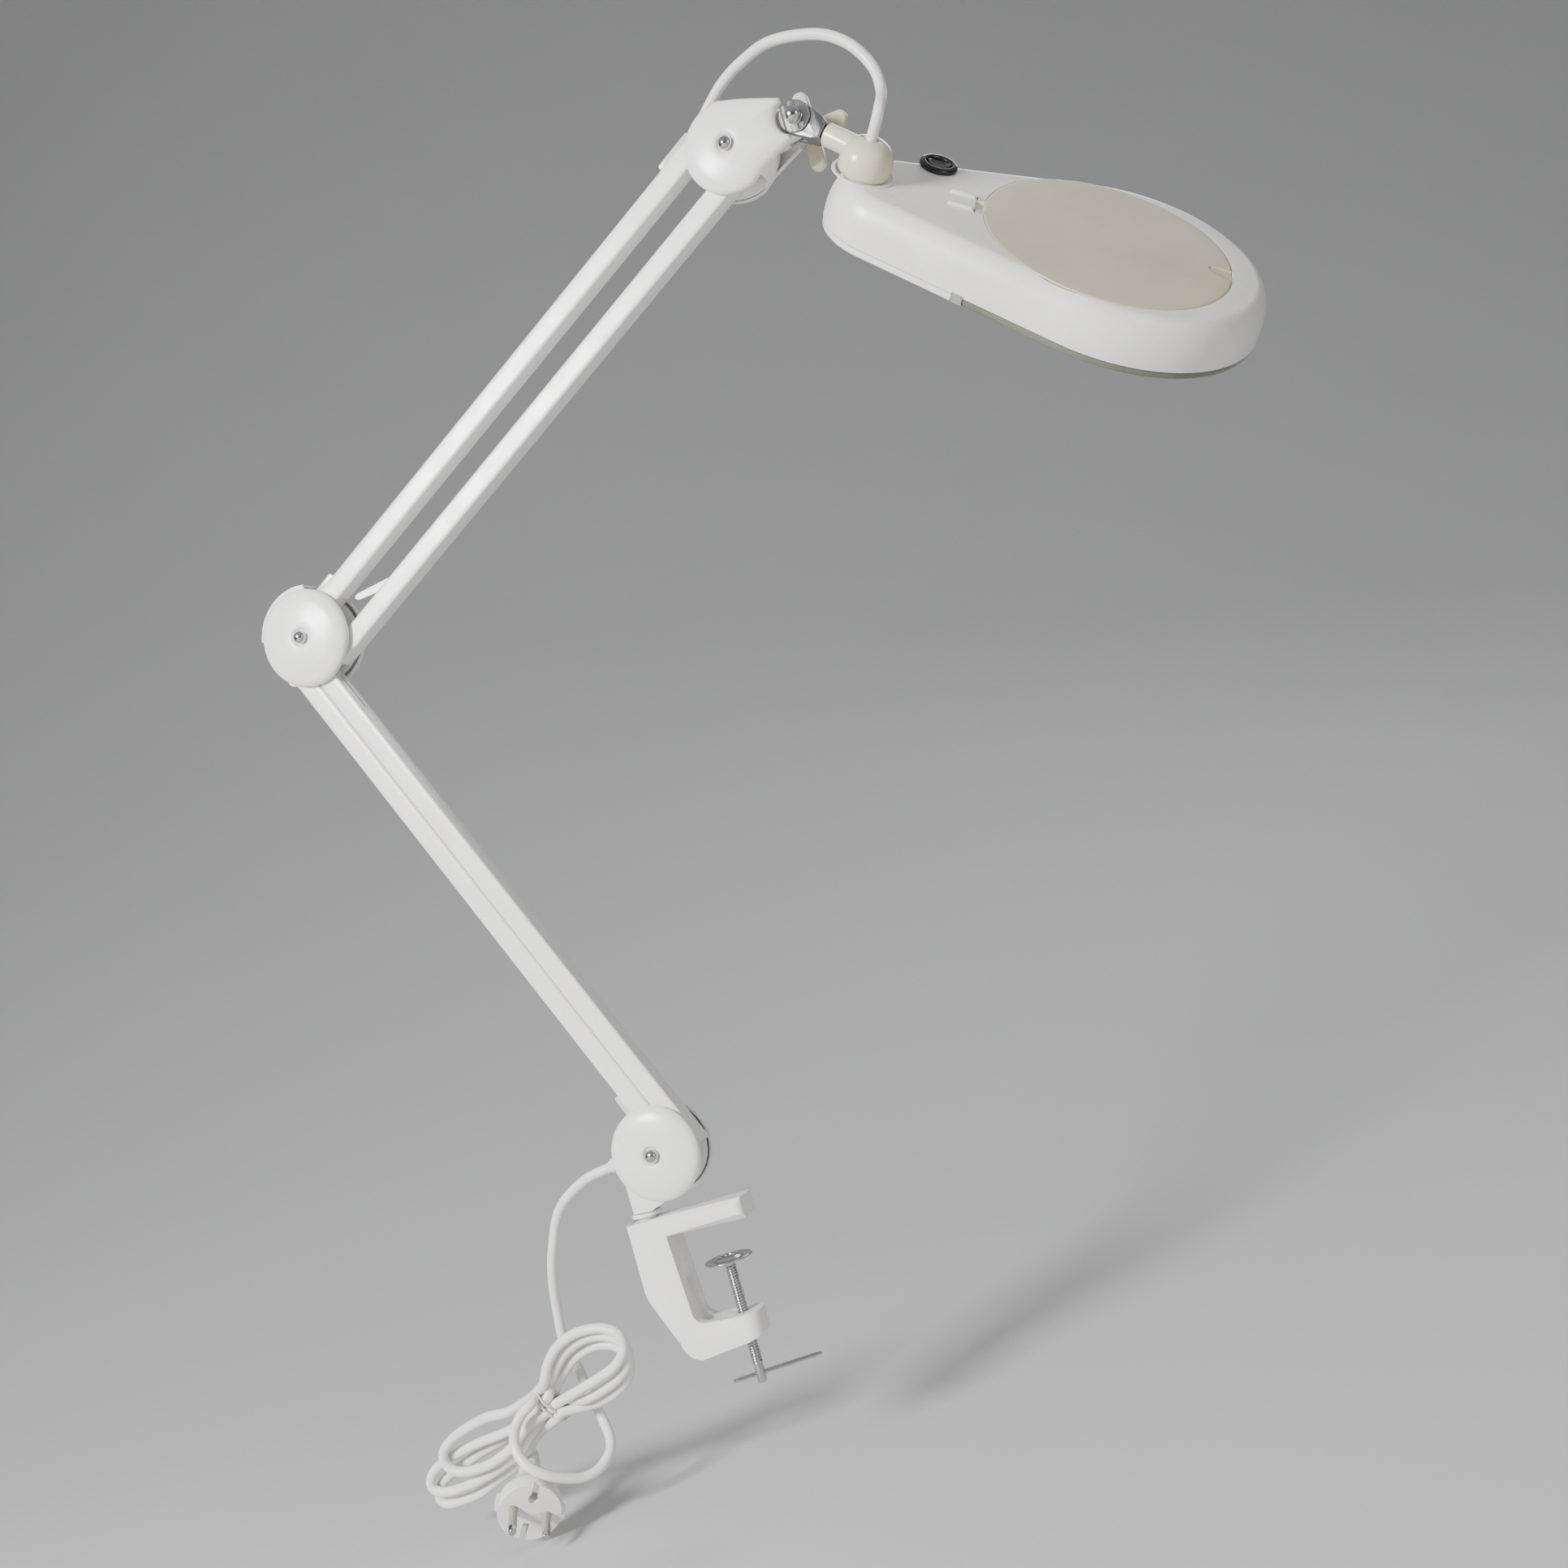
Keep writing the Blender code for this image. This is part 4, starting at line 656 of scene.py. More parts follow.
def clamp():
    outline = filleted([(SPINE_OUT, CLAMP_TOP, 2.2), (SPINE_OUT, -31.0, 5.0), (-34.0, -60.0, 3.0)], 2.0, 6)
    outline += arc(-22.0, -58.5, 12.0, 196, 264, 14)
    outline += filleted([(6.0, -65.8), (JAW_END - 1.6, -63.9), (JAW_END, -62.5), (JAW_END, JAW_DEPTH - 1.6),
        (JAW_END - 1.6, JAW_DEPTH), (6.0, JAW_DEPTH)], 1.4, 5, False)
    outline += arc(SPINE_IN + 9.5, JAW_DEPTH + 7.0, 7.0, 270, 180, 12)
    outline += [(SPINE_IN, 0.0)]
    outline += filleted([(18.0, 0.0), (BAR_END, 0.0), (BAR_END, CLAMP_TOP), (18.0, CLAMP_TOP)], 1.2, 5,
        False)
    body = build_mesh("clamp_body", prism(outline, -CLAMP_HALF_WIDTH, CLAMP_HALF_WIDTH))
    carve(body, [chamfer for side in (-1, 1) for chamfer in clamp_chamfers(side)])
    bevelled(body, 1.1, 4, 24)
    groove = filleted([(SPINE_IN - 2.6, -26.0), (SPINE_IN + 14.0, -26.0), (SPINE_IN + 14.0, -40.0),
        (SPINE_IN + 10.0, JAW_DEPTH - 1.6), (SPINE_IN + 2.0, JAW_DEPTH - 1.6)], 3.0, 5)
    post = moved(rod(5.6, -40, 30, 48), shift(SWIVEL_X, 0, 0))
    tap = moved(rod(SCREW_TAP, -90, -40, 48), shift(SCREW_X, 0, 0))
    carve(body, [prism(groove, -4.6, 4.6), post, tap])
    bevelled(body, 0.35, 2, 55)
    place_piece(body, "clamp", WHITE, "white_paint", "clamp_frame")

    profile = filleted([(4.3, -25.0), (5.3, -25.0), (5.3, CLAMP_TOP + GAP), (8.8, CLAMP_TOP + GAP),
        (8.8, CLAMP_TOP + 1.7), (7.9, CLAMP_TOP + 2.4), (4.3, CLAMP_TOP + 2.4)], 0.5)
    collar = build_mesh("post_collar", lathe(profile, 72), shift(SWIVEL_X, 0, 0))
    place_piece(collar, "clamp", WHITE, "white_paint", "post_bush")


def clamp_pad():
    top = PAD_TOP
    profile = filleted([(2.5, top - 3.7), (6.0, top - 3.8), (PAD_RADIUS - 0.5, top - 2.6, 0.3),
        (PAD_RADIUS, top - 2.0, 0.4), (PAD_RADIUS - 0.6, top - 1.4, 0.4), (8.8, top - 1.9, 3.0),
        (7.2, top - 0.6, 1.6), (5.7, top, 0.8), (3.8, top, 0.5), (3.5, top - 1.4), (2.5, top - 1.6)], 0.5,
        5)
    pad = build_mesh("pad_cup", lathe(profile, 96), shift(SCREW_X, 0, 0), 60)
    place_piece(pad, "pad", CHROME, "chrome", "clamp_pad")


def thread(low, high, outer, depth, pitch):
    """Screw thread as rings whose radius follows the turn."""
    around = 28
    rings = []
    steps = int((high - low) / pitch * 5)
    for k in range(steps + 1):
        height = low + (high - low) * k / steps
        ring = []
        for i in range(around):
            share = (height / pitch - i / around) % 1.0
            wave = abs(share * 2 - 1)
            fade = min(1.0, (height - low) / pitch, (high - height) / pitch)
            radius = outer - depth * fade * (1 - min(1.0, 1.6 * wave))
            turn = 2 * math.pi * i / around
            ring.append((radius * math.cos(turn), radius * math.sin(turn), height))
        rings.append(ring)
    return loft(rings)


def clamp_screw():
    top = PAD_TOP
    shaft = thread(THREAD_LOW, top - 4.6, SCREW_RADIUS, THREAD_DEPTH, THREAD_PITCH)
    foot = [(0, -80.5), (2.5, -80.0), (2.6, -80.0), (2.6, -90.4), (2.1, -91.0), (0, -91.0)]
    rivet = [(0, top - 0.5), (2.2, top - 0.6), (3.3, top - 1.0), (3.3, top - 1.5), (2.0, top - 1.7),
        (2.0, top - 5.0), (0, top - 5.0)]
    screw = build_mesh("screw_rod", joined(shaft, turned(foot, 0.4, 3, 36), turned(rivet, 0.3, 3, 36)),
        shift(SCREW_X, 0, 0), 50)
    place_piece(screw, "screw", CHROME, "chrome", "clamp_screw")


def tommy():
    stations = [(-1.0, 0.35, 0.8), (-0.99, 0.8, 1.45), (-0.965, 0.95, 1.75), (-0.93, 0.85, 1.7),
        (-0.905, 1.05, 1.35), (-0.88, 1.2, 1.2), (0.88, 1.2, 1.2), (0.905, 1.05, 1.35), (0.93, 0.85, 1.7),
        (0.965, 0.95, 1.75), (0.99, 0.8, 1.45), (1.0, 0.35, 0.8)]
    rings = []
    for share, flat, wide in stations:
        along = share * TOMMY_HALF + TOMMY_SHIFT
        rings.append([(along, wide * x, flat * y) for x, y in circle(0, 0, 1.0, 24)])
    place = shift(SCREW_X, 0, TOMMY_Z) @ spin(TOMMY_TURN, "Z")
    bar = build_mesh("tommy_rod", loft(rings), place, 45)
    place_piece(bar, "tommy", CHROME, "chrome", "tommy_bar")


# ---- arms and brackets ----
def square_ring(half, corner, height):
    """Rounded square at a height along the tube."""
    ring = []
    for quarter in range(4):
        turn = math.radians(90 * quarter)
        east, north = math.cos(turn), math.sin(turn)
        for x, y in arc(half - corner, half - corner, corner, 0, 90, 5):
            ring.append((x * east - y * north, x * north + y * east, height))
    return ring


def arm_tube(name, place, body, node, extra=(), cuts=()):
    half = TUBE / 2
    inner = half - TUBE_WALL
    low = -TUBE_TAIL
    high = ARM_SPAN + TUBE_TAIL
    edge = 0.25
    rings = [square_ring(half - edge, 1.2, low), square_ring(half, 1.4, low + edge),
        square_ring(half, 1.4, high - edge), square_ring(half - edge, 1.2, high),
        square_ring(inner, 0.5, high), square_ring(inner, 0.5, low)]
    tube = build_mesh(name, loft(rings, True), place, 25)
    for piece in extra:
        carve(tube, [moved(piece, place)], "UNION", 25)
    drill = rod(PIN_RADIUS + GAP, -20, 20, 32)
    holes = [moved(drill, place @ shift(0, 0, height) @ TO_Y) for height in (0.0, ARM_SPAN)]
    carve(tube, holes + [moved(piece, place) for piece in cuts], "DIFFERENCE", 25)
    place_piece(tube, body, WHITE, "white_paint", node)


def guide_strip(name, place, body, node, low, high):
    """Rounded strip over the slot where the cord enters a tube."""
    face = -TUBE / 2 - GAP
    outline = filleted([(face, low, 0.2), (face - 3.2, low, 1.6), (face - 3.2, high, 1.6),
        (face, high, 0.2)], 1.0, 5)
    strip = build_mesh(name, prism(outline, -4.0, 4.0), place)
    bevelled(strip, 0.8, 3, 40)
    place_piece(strip, body, CREAM, "cream_plastic", node)


def dimple(across, height, radius):
    """Shallow dent cutter in the wall of a tube on its +x side."""
    ball = lathe([(0, -0.35), (radius * 0.7, -0.21), (radius, 1.0), (0, 1.0)], 20)
    return moved(ball, shift(TUBE / 2, across, height) @ spin(90, "Y"))


def arms():
    half = TUBE / 2
    tab = prism(filleted([(-half + 0.5, 352.0), (-half - 3.7, 351.0), (-half - 3.7, 344.0),
        (-half + 0.5, 340.0)], 1.4, 4), -4.0, 2.0)
    arm_tube("lower_square_main", LOWER_MAIN, "lower_arm", "lower_tube_main", [tab])
    guide_strip("lower_cord_guide", LOWER_MAIN, "lower_arm", "lower_guide", 6.0, 28.0)
    verts, faces = prism(filleted(rect(-0.7, 0.7, 318.0, 344.0), 0.6, 4), 4.0, 9.0)
    slit = [Vector((v.y, v.x, v.z)) for v in verts], faces
    marks = [slit, dimple(0.6, 308.0, 1.0), dimple(-0.8, 12.0, 0.8), dimple(1.2, 7.0, 0.8)]
    arm_tube("lower_square_link", LOWER_LINK, "lower_link", "lower_tube_link", (), marks)
    arm_tube("upper_square_main", UPPER_MAIN, "upper_arm", "upper_tube_main")
    guide_strip("upper_cord_guide_elbow", UPPER_MAIN, "upper_arm", "upper_guide_elbow", 6.0, 27.0)
    guide_strip("upper_cord_guide_head", UPPER_MAIN, "upper_arm", "upper_guide_head", ARM_SPAN - 26.0,
        ARM_SPAN - 2.0)
    bent = [(-half + 0.4, 53.0, 0.2), (-half + 0.4, 41.6, 0.2), (-half - 5.6, 29.6), (-half - 8.0, 28.6),
        (-half - 8.8, 31.2)]
    lug = prism(filleted(bent, 1.2, 4), -half + 0.05, -half + 1.2)
    arm_tube("upper_square_link", UPPER_LINK, "upper_link", "upper_tube_link", [lug])


def springs():
    """Balance springs inside the link tubes, with hooked ends."""
    for name, node, place, body in (("lower_coil", "lower_spring", LOWER_LINK, "lower_link"),
            ("upper_coil", "upper_spring", UPPER_LINK, "upper_link")):
        low, high, turns, radius = 40.0, 150.0, 46, 3.3
        points = [Vector((0, 0, low - 14.0)), Vector((0, 0, low - 6.0))]
        for k in range(turns * 10 + 1):
            turn = 2 * math.pi * k / 10
            height = low + (high - low) * k / (turns * 10)
            points.append(Vector((radius * math.cos(turn), radius * math.sin(turn), height)))
        points += [Vector((0, 0, high + 6.0)), Vector((0, 0, high + 14.0))]
        coil = build_mesh(name, tube_along(points, 0.6, 8), place, 60)
        place_piece(coil, body, SPRING, "spring_steel", node)


def cap_levels(radius):
    """(inset share of the radius, height) over a dished cap, rim to hub and back inside."""
    return [(0.0, CAP_RIM), (0.0, CAP_RIM + 1.0), (0.5, CAP_RIM + 2.2), (1.7, CAP_RIM + 3.4),
        (3.8, CAP_RIM + 4.5), (0.27 * radius, CAP_RIM + 5.5), (0.45 * radius, CAP_RIM + 6.25),
        (0.62 * radius, CAP_RIM + 6.7), (radius - 7.0, CAP_TOP - 0.02), (radius - 6.0, CAP_TOP - 0.15),
        (radius - 5.3, CAP_TOP - 0.6), (radius - 4.9, CAP_TOP - 1.3), (radius - 4.5, CAP_SEAT),
        (radius - 2.9, CAP_SEAT), (radius - 2.9, CAP_SEAT - 1.2), (radius - 6.0, CAP_SEAT - 1.2),
        (4.9, CAP_TOP - 3.6), (2.2, CAP_RIM + 2.2), (1.4, CAP_RIM)]


def round_cap(name, place, radius, side, body, node):
    profile = [(radius - inset, height) for inset, height in cap_levels(radius)]
    turn = TO_Y if side > 0 else spin(90, "X")
    cap = build_mesh(name, lathe(profile, 112), place @ turn, 50)
    place_piece(cap, body, WHITE, "white_paint", node)


def mount_cap(name, side, node):
    """Cap over the head bracket, drawn out to a nose with a notch for the knuckle."""
    outline = arc(0, 0, HEAD_CAP_RADIUS, 88, 288, 50)
    outline += filleted([(15.5, -18.9, 6.0), (26.0, -14.0, 3.0), (34.2, -10.3, 1.0)], 2.0, 5, False)
    outline += arc(*KNUCKLE, 10.2, 242, 118, 20)
    outline += filleted([(33.8, 13.0, 1.0), (24.0, 17.2, 3.0), (13.0, 21.6, 5.0)], 2.0, 5, False)
    turns = [math.atan2(z, x) for x, z in outline]
    rings = []
    hub = HEAD_CAP_RADIUS - 7.0
    for inset, height in cap_levels(HEAD_CAP_RADIUS):
        ring = []
        for (x, z), turn in zip(outline, turns):
            reach = math.hypot(x, z)
            if inset <= hub:
                size = reach * (1 - inset / hub) + 7.0 * inset / hub
                size = max(size, reach - inset * 1.25) if inset < 3 else size
            else:
                size = HEAD_CAP_RADIUS - inset
            ring.append((size * math.cos(turn), side * height, size * math.sin(turn)))
        rings.append(ring)
    cap = build_mesh(name, loft(rings, True), MOUNT_FRAME, 50)
    place_piece(cap, "head_mount", WHITE, "white_paint", node)


def bolt_and_nut(prefix, place, body):
    head = CAP_SEAT + GAP
    shank = [(0, -(CAP_SEAT + 2.2)), (2.1, -(CAP_SEAT + 2.2)), (2.5, -(CAP_SEAT + 1.6)), (2.5, head),
        (3.9, head), (3.9, head + 0.9), (3.3, head + 2.5), (1.7, head + 3.4), (0, head + 3.6)]
    bolt = build_mesh(prefix + "_screw", turned(shank, 0.6, 4, 40), place @ TO_Y, 60)
    place_piece(bolt, body, CHROME, "chrome", prefix + "_bolt")
    profile = [(2.9, head), (3.9, head), (3.9, head + 1.2)] + dome(3.9, 3.4, head + 1.2, range(10, 90, 10))
    profile += [(0, head + 4.6), (0, head + 3.0), (2.9, head + 2.4)]
    nut = build_mesh(prefix + "_acorn", lathe(profile, 48), place @ spin(90, "X"), 60)
    place_piece(nut, body, CHROME, "chrome", prefix + "_nut")


def plate_fork(name, place, body, node, outline, holes, slot, extra_cuts=()):
    """Two plates with a bent web, cut from one outline."""
    fork = build_mesh(name, prism(outline, -PLATE_OUT, PLATE_OUT), place)
    cutters = [moved(prism(slot, -PLATE_IN, PLATE_IN), place)]
    for x, z, radius in holes:
        cutters.append(moved(moved(rod(radius, -20, 20, 32), shift(x, 0, z) @ TO_Y), place))
    cutters += [moved(piece, place) for piece in extra_cuts]
    carve(fork, cutters)
    bevelled(fork, 0.3, 2, 50)
    place_piece(fork, body, WHITE, "white_paint", node)


def pin_holes(origin, pivots):
    return [(p[0] - origin[0], p[1] - origin[1], PIN_RADIUS + GAP) for p in pivots]


def brackets():
    foot_x = SWIVEL_X - BASE_BOLT[0]
    foot_low = CLAMP_TOP + 2.7 + GAP - BASE_BOLT[1]
    outline = hull(circle(0, 0, 24.5, 72) + [(foot_x - 4.0, foot_low), (foot_x + 7.0, foot_low),
        (foot_x - 4.4, foot_low + 14.0)])
    slot = rect(-60.0, 60.0, foot_low + 8.5, 60.0)
    seat = moved(rod(4.3, foot_low - 5, foot_low + 5.5), shift(foot_x, 0, 0))
    plate_fork("base_fork", BASE_FRAME, "swivel_base", "base_bracket", outline,
        [(0, 0, BOLT_RADIUS + GAP)] + pin_holes(BASE_BOLT, (P_MAIN, P_LINK)), slot, [seat])

    plate = arc(0, 0, 26.0, 170, 435, 70) + arc(0, 0, 31.7, 78, 167, 36)
    slot = arc(0, 0, 45.0, 170, 435, 40) + arc(0, 0, 30.2, 75, 170, 40)
    plate_fork("elbow_fork", ELBOW_FRAME, "elbow", "elbow_bracket", plate,
        [(0, 0, BOLT_RADIUS + GAP)] + pin_holes(ELBOW_BOLT, (Q_MAIN, Q_LINK, R_MAIN, R_LINK)), slot)

    neck = math.degrees(math.asin(8.0 / 24.0))
    outline = arc(0, 0, 24.0, neck + 4, 360 - neck - 1, 60) + arc(*KNUCKLE, 8.0, -90, 90, 24)
    slot = rect(-60.0, 12.0, -60.0, 60.0)
    relief = [prism(circle(*KNUCKLE, 12.5, 64), *sorted((side * 3.2, side * 20.0))) for side in (-1, 1)]
    plate_fork("head_fork", MOUNT_FRAME, "head_mount", "head_bracket", outline,
        [(0, 0, BOLT_RADIUS + GAP), (*KNUCKLE, 3.3)] + pin_holes(HEAD_BOLT, (S_MAIN, S_LINK)), slot, relief)


def caps_and_bolts():
    for prefix, place, radius, body in (("base", BASE_FRAME, BASE_CAP_RADIUS, "swivel_base"),
            ("elbow", ELBOW_FRAME, ELBOW_CAP_RADIUS, "elbow")):
        round_cap(prefix + "_dish_front", place, radius, -1, body, prefix + "_cap_front")
        round_cap(prefix + "_dish_rear", place, radius, 1, body, prefix + "_cap_rear")
        bolt_and_nut(prefix, place, body)
    mount_cap("head_dish_front", -1, "head_cap_front")
    mount_cap("head_dish_rear", 1, "head_cap_rear")
    bolt_and_nut("head", MOUNT_FRAME, "head_mount")


# ---- knuckle and stem ----
def knuckle():
    place = place_y(KNUCKLE_AT)
    tang = filleted([(13.0, 7.0), (17.5, 4.5), (17.5, -4.5), (13.0, -7.0)], 1.2, 4)
    outline = hull(circle(0, 0, 9.0, 56) + tang)
    fork = build_mesh("knuckle_casting", prism(outline, -7.2, 7.2), STEM_FRAME)
    slot = moved(prism(circle(0, 0, 11.2, 56), -3.6, 3.6), STEM_FRAME)
    bore = moved(rod(3.3, -20, 20), STEM_FRAME @ TO_Y)
    carve(fork, [slot, bore])
    bevelled(fork, 0.7, 3, 45)
    stud = moved(rod(2.6, 15.0, 26.0, 32), STEM_FRAME @ spin(90, "Y"))
    collar = turned([(0, 16.5), (4.6, 16.5), (4.6, 17.9), (0, 17.9)], 0.3, 3, 40)
    collar = moved(collar, STEM_FRAME @ spin(90, "Y"))
    carve(fork, [stud, collar], "UNION")
    place_piece(fork, "knuckle", CAST, "chrome", "knuckle_fork")

    shank = turned([(0, -9.2), (2.3, -9.2), (3.0, -8.6), (3.0, 22.4), (2.4, 23.0), (0, 23.0)], 0.3, 3, 40)
    bolt = build_mesh("knuckle_rod", shank, place @ TO_Y)
    place_piece(bolt, "knuckle", STEEL, "zinc_steel", "knuckle_bolt")

    profile = [(3.3, 7.5), (8.8, 7.5), (8.8, 8.2), (8.4, 8.7), (4.9, 8.8), (4.9, 9.2), (4.6, 9.4),
        (4.6, 11.0)]
    profile += dome(4.6, 3.6, 11.0, range(12, 90, 12)) + [(0, 14.6), (0, 10.2), (3.3, 9.4)]
    nut = build_mesh("knuckle_acorn", lathe(profile, 64), place @ spin(90, "X"), 40)
    place_piece(nut, "knuckle", CHROME, "chrome", "knuckle_nut")

    outline = []
    for turn in range(0, 360, 90):
        middle = math.radians(turn)
        between = middle + math.pi / 4
        outline += arc(18.0 * math.cos(middle), 18.0 * math.sin(middle), 4.5, turn - 86, turn + 86, 18)
        outline += arc(9.6 * math.cos(between), 9.6 * math.sin(between), 2.4, turn + 305, turn + 145, 8)
    wing = build_mesh("wing_grip", prism(outline, 15.8, 21.2), place)
    boss = turned([(0, 7.7), (7.0, 7.7), (7.6, 8.6), (7.6, 23.8), (6.2, 25.5), (0, 25.5)], 0.9, 4, 48)
    bevelled(wing, 1.6, 4, 40)
    carve(wing, [moved(boss, place @ TO_Y)], "UNION", 40)
    carve(wing, [moved(rod(3.3, 5, 30), place @ TO_Y)], "DIFFERENCE", 40)
    place_piece(wing, "wing", CREAM, "cream_plastic", "wing_nut")


def stem():
    base = HEAD_TOP + 0.5
    outer = [(4.9, base), (13.4, base), (14.1, base + 0.6), (14.6, base + 2.0)]
    outer += dome(14.7, 13.3, -5.2, range(4, 76, 6), 0.7)
    outer += [(4.5, 8.05), (3.8, 7.9), (3.6, 7.3), (3.6, -2.7), (4.9, -2.7)]
    tee = build_mesh("stem_tee", lathe(outer, 112), DOME_FRAME, 40)
    sleeve = turned([(0, 8.0), (6.4, 8.0), (6.3, 25.6), (5.9, 26.0), (0, 26.0)], 0.5, 4, 80)
    carve(tee, [moved(sleeve, DOME_FRAME @ spin(-90, "Y"))], "UNION", 40)
    seat = moved(rod(2.9, 17.6, 30.0), DOME_FRAME @ spin(-90, "Y"))
    slot = slab(filleted(rect(-6.6, 0.0, -2.0, 2.0), 1.9, 5), 6.5, 12.0)
    core = rod(3.55, -12.0, 12.0, 48)
    carve(tee, [seat, moved(slot, DOME_FRAME), moved(core, DOME_FRAME)], "DIFFERENCE", 40)
    place_piece(tee, "stem", CREAM, "cream_plastic", "stem_housing")


# ---- head ----
def tangent_angle():
    """Where the head's straight sides meet its wide and narrow arcs."""
    wide_x, wide_r = HEAD_WIDE
    nose_x, nose_r = HEAD_NARROW
    return 90 + math.degrees(math.asin((wide_r - nose_r) / (wide_x - nose_x)))


def head_outline(inset):
    straight = 10
    tangent = tangent_angle()
    wide = arc(HEAD_WIDE[0], 0, HEAD_WIDE[1] - inset, -tangent, tangent, 88)
    nose = arc(HEAD_NARROW[0], 0, HEAD_NARROW[1] - inset, tangent, 360 - tangent, 36)
    outline = []
    for run, following in ((wide, nose), (nose, wide)):
        a, b = Vector(run[-1]), Vector(following[0])
        outline += run + [tuple(a.lerp(b, k / straight)) for k in range(1, straight)]
    return outline


def head_mesh(levels):
    return loft([[(u, v, height) for u, v in head_outline(inset)] for inset, height in levels])


def end_mesh(levels, wide, u, count):
    """The wide or narrow end of the egg cut straight across at u, through (inset, height) levels."""
    centre, radius = HEAD_WIDE if wide else HEAD_NARROW
    tangent = tangent_angle()
    turns = (-tangent, tangent) if wide else (tangent, 360 - tangent)
    edge = math.radians(tangent)
    rings = []
    for inset, height in levels:
        reach = radius - inset
        side = reach * math.sin(edge) + (centre + reach * math.cos(edge) - u) / math.tan(edge)
        corners = [(u, side), (u, -side)] if wide else [(u, -side), (u, side)]
        rings.append([(x, y, height) for x, y in arc(centre, 0, reach, *turns, count) + corners])
    return loft(rings)


def disc(x, y, radius, low, high, count=112):
    return moved(rod(radius, low, high, count), HEAD_FRAME @ shift(x, y, 0))


def shell_levels(shrink=0.0, steps=16):
    across, down = SHOULDER
    levels = []
    for step in range(steps + 1):
        turn = math.radians(90 * step / steps)
        height = HEAD_TOP - down * (1 - math.sin(turn)) - shrink
        levels.append((shrink + across * (1 - math.cos(turn)), height))
    return levels


def head_shell():
    levels = [(0.5, HEAD_BOTTOM), (0.0, HEAD_BOTTOM + 0.5), (0.0, HEAD_BOTTOM + 2.0)] + shell_levels()
    shell = build_mesh("head_housing", head_mesh(levels), HEAD_FRAME, 30)
    hollow = [(SHELL_WALL, HEAD_BOTTOM - 4.0)]
    hollow += [(inset, height) for inset, height in shell_levels(SHELL_WALL, 12)
        if height < HEAD_TOP - TOP_WALL]
    hollow.append((hollow[-1][0] + 2.0, HEAD_TOP - TOP_WALL))
    cutters = [moved(head_mesh(hollow), HEAD_FRAME), disc(LENS_CENTRE, 0, COVER_RADIUS + 0.35,
        HEAD_TOP - 1.6, 5.0), disc(LENS_CENTRE, 0, LENS_RADIUS - 1.2, -20.0, 5.0),
        disc(0, 0, 5.0, -20.0, 5.0, 48), disc(*SWITCH_AT, SWITCH_HOLE, -25.0, 5.0, 64)]
    for side, wide in ((0, 5.2), (-7.5, 2.2), (7.5, 2.2)):
        notch = rect(HINGE_U - 2.6, HINGE_U + 4.0, side - wide, side + wide)
        cutters.append(moved(slab(notch, HEAD_TOP - 2.4, HEAD_TOP + 6.0), HEAD_FRAME))
    carve(shell, cutters, "DIFFERENCE", 30)
    ribs = []
    for side in (-1, 1):
        rows = []
        low, high = HINGE_U - 17.0, HINGE_U - 3.2
        for share, lift in ((0.0, 0.5), (0.03, 0.85), (0.08, 1.0), (0.93, 1.0), (0.98, 0.85), (1.0, 0.5)):
            u = low + (high - low) * share
            wide = 1.25 * (0.55 + 0.45 * lift)
            rows.append([(u, side * 7.5 + wide * math.cos(math.radians(a)),
                HEAD_TOP - 0.3 + (1.6 * lift + 0.3) * max(0.0, math.sin(math.radians(a))) ** 0.7)
                for a in range(0, 181, 15)])
        ribs.append(loft(rows))
    lip = lathe(filleted([(15.4, HEAD_TOP - 0.2), (17.6, HEAD_TOP - 0.2), (17.4, HEAD_TOP + 0.7),
        (15.7, HEAD_TOP + 0.7)], 0.5, 4), 96)
    trim = build_mesh("head_ribs", joined(*ribs, lip), HEAD_FRAME, 50)
    place_piece(shell, "head", SHELL, "white_plastic", "head_shell")
    place_piece(trim, "head", SHELL, "white_plastic")


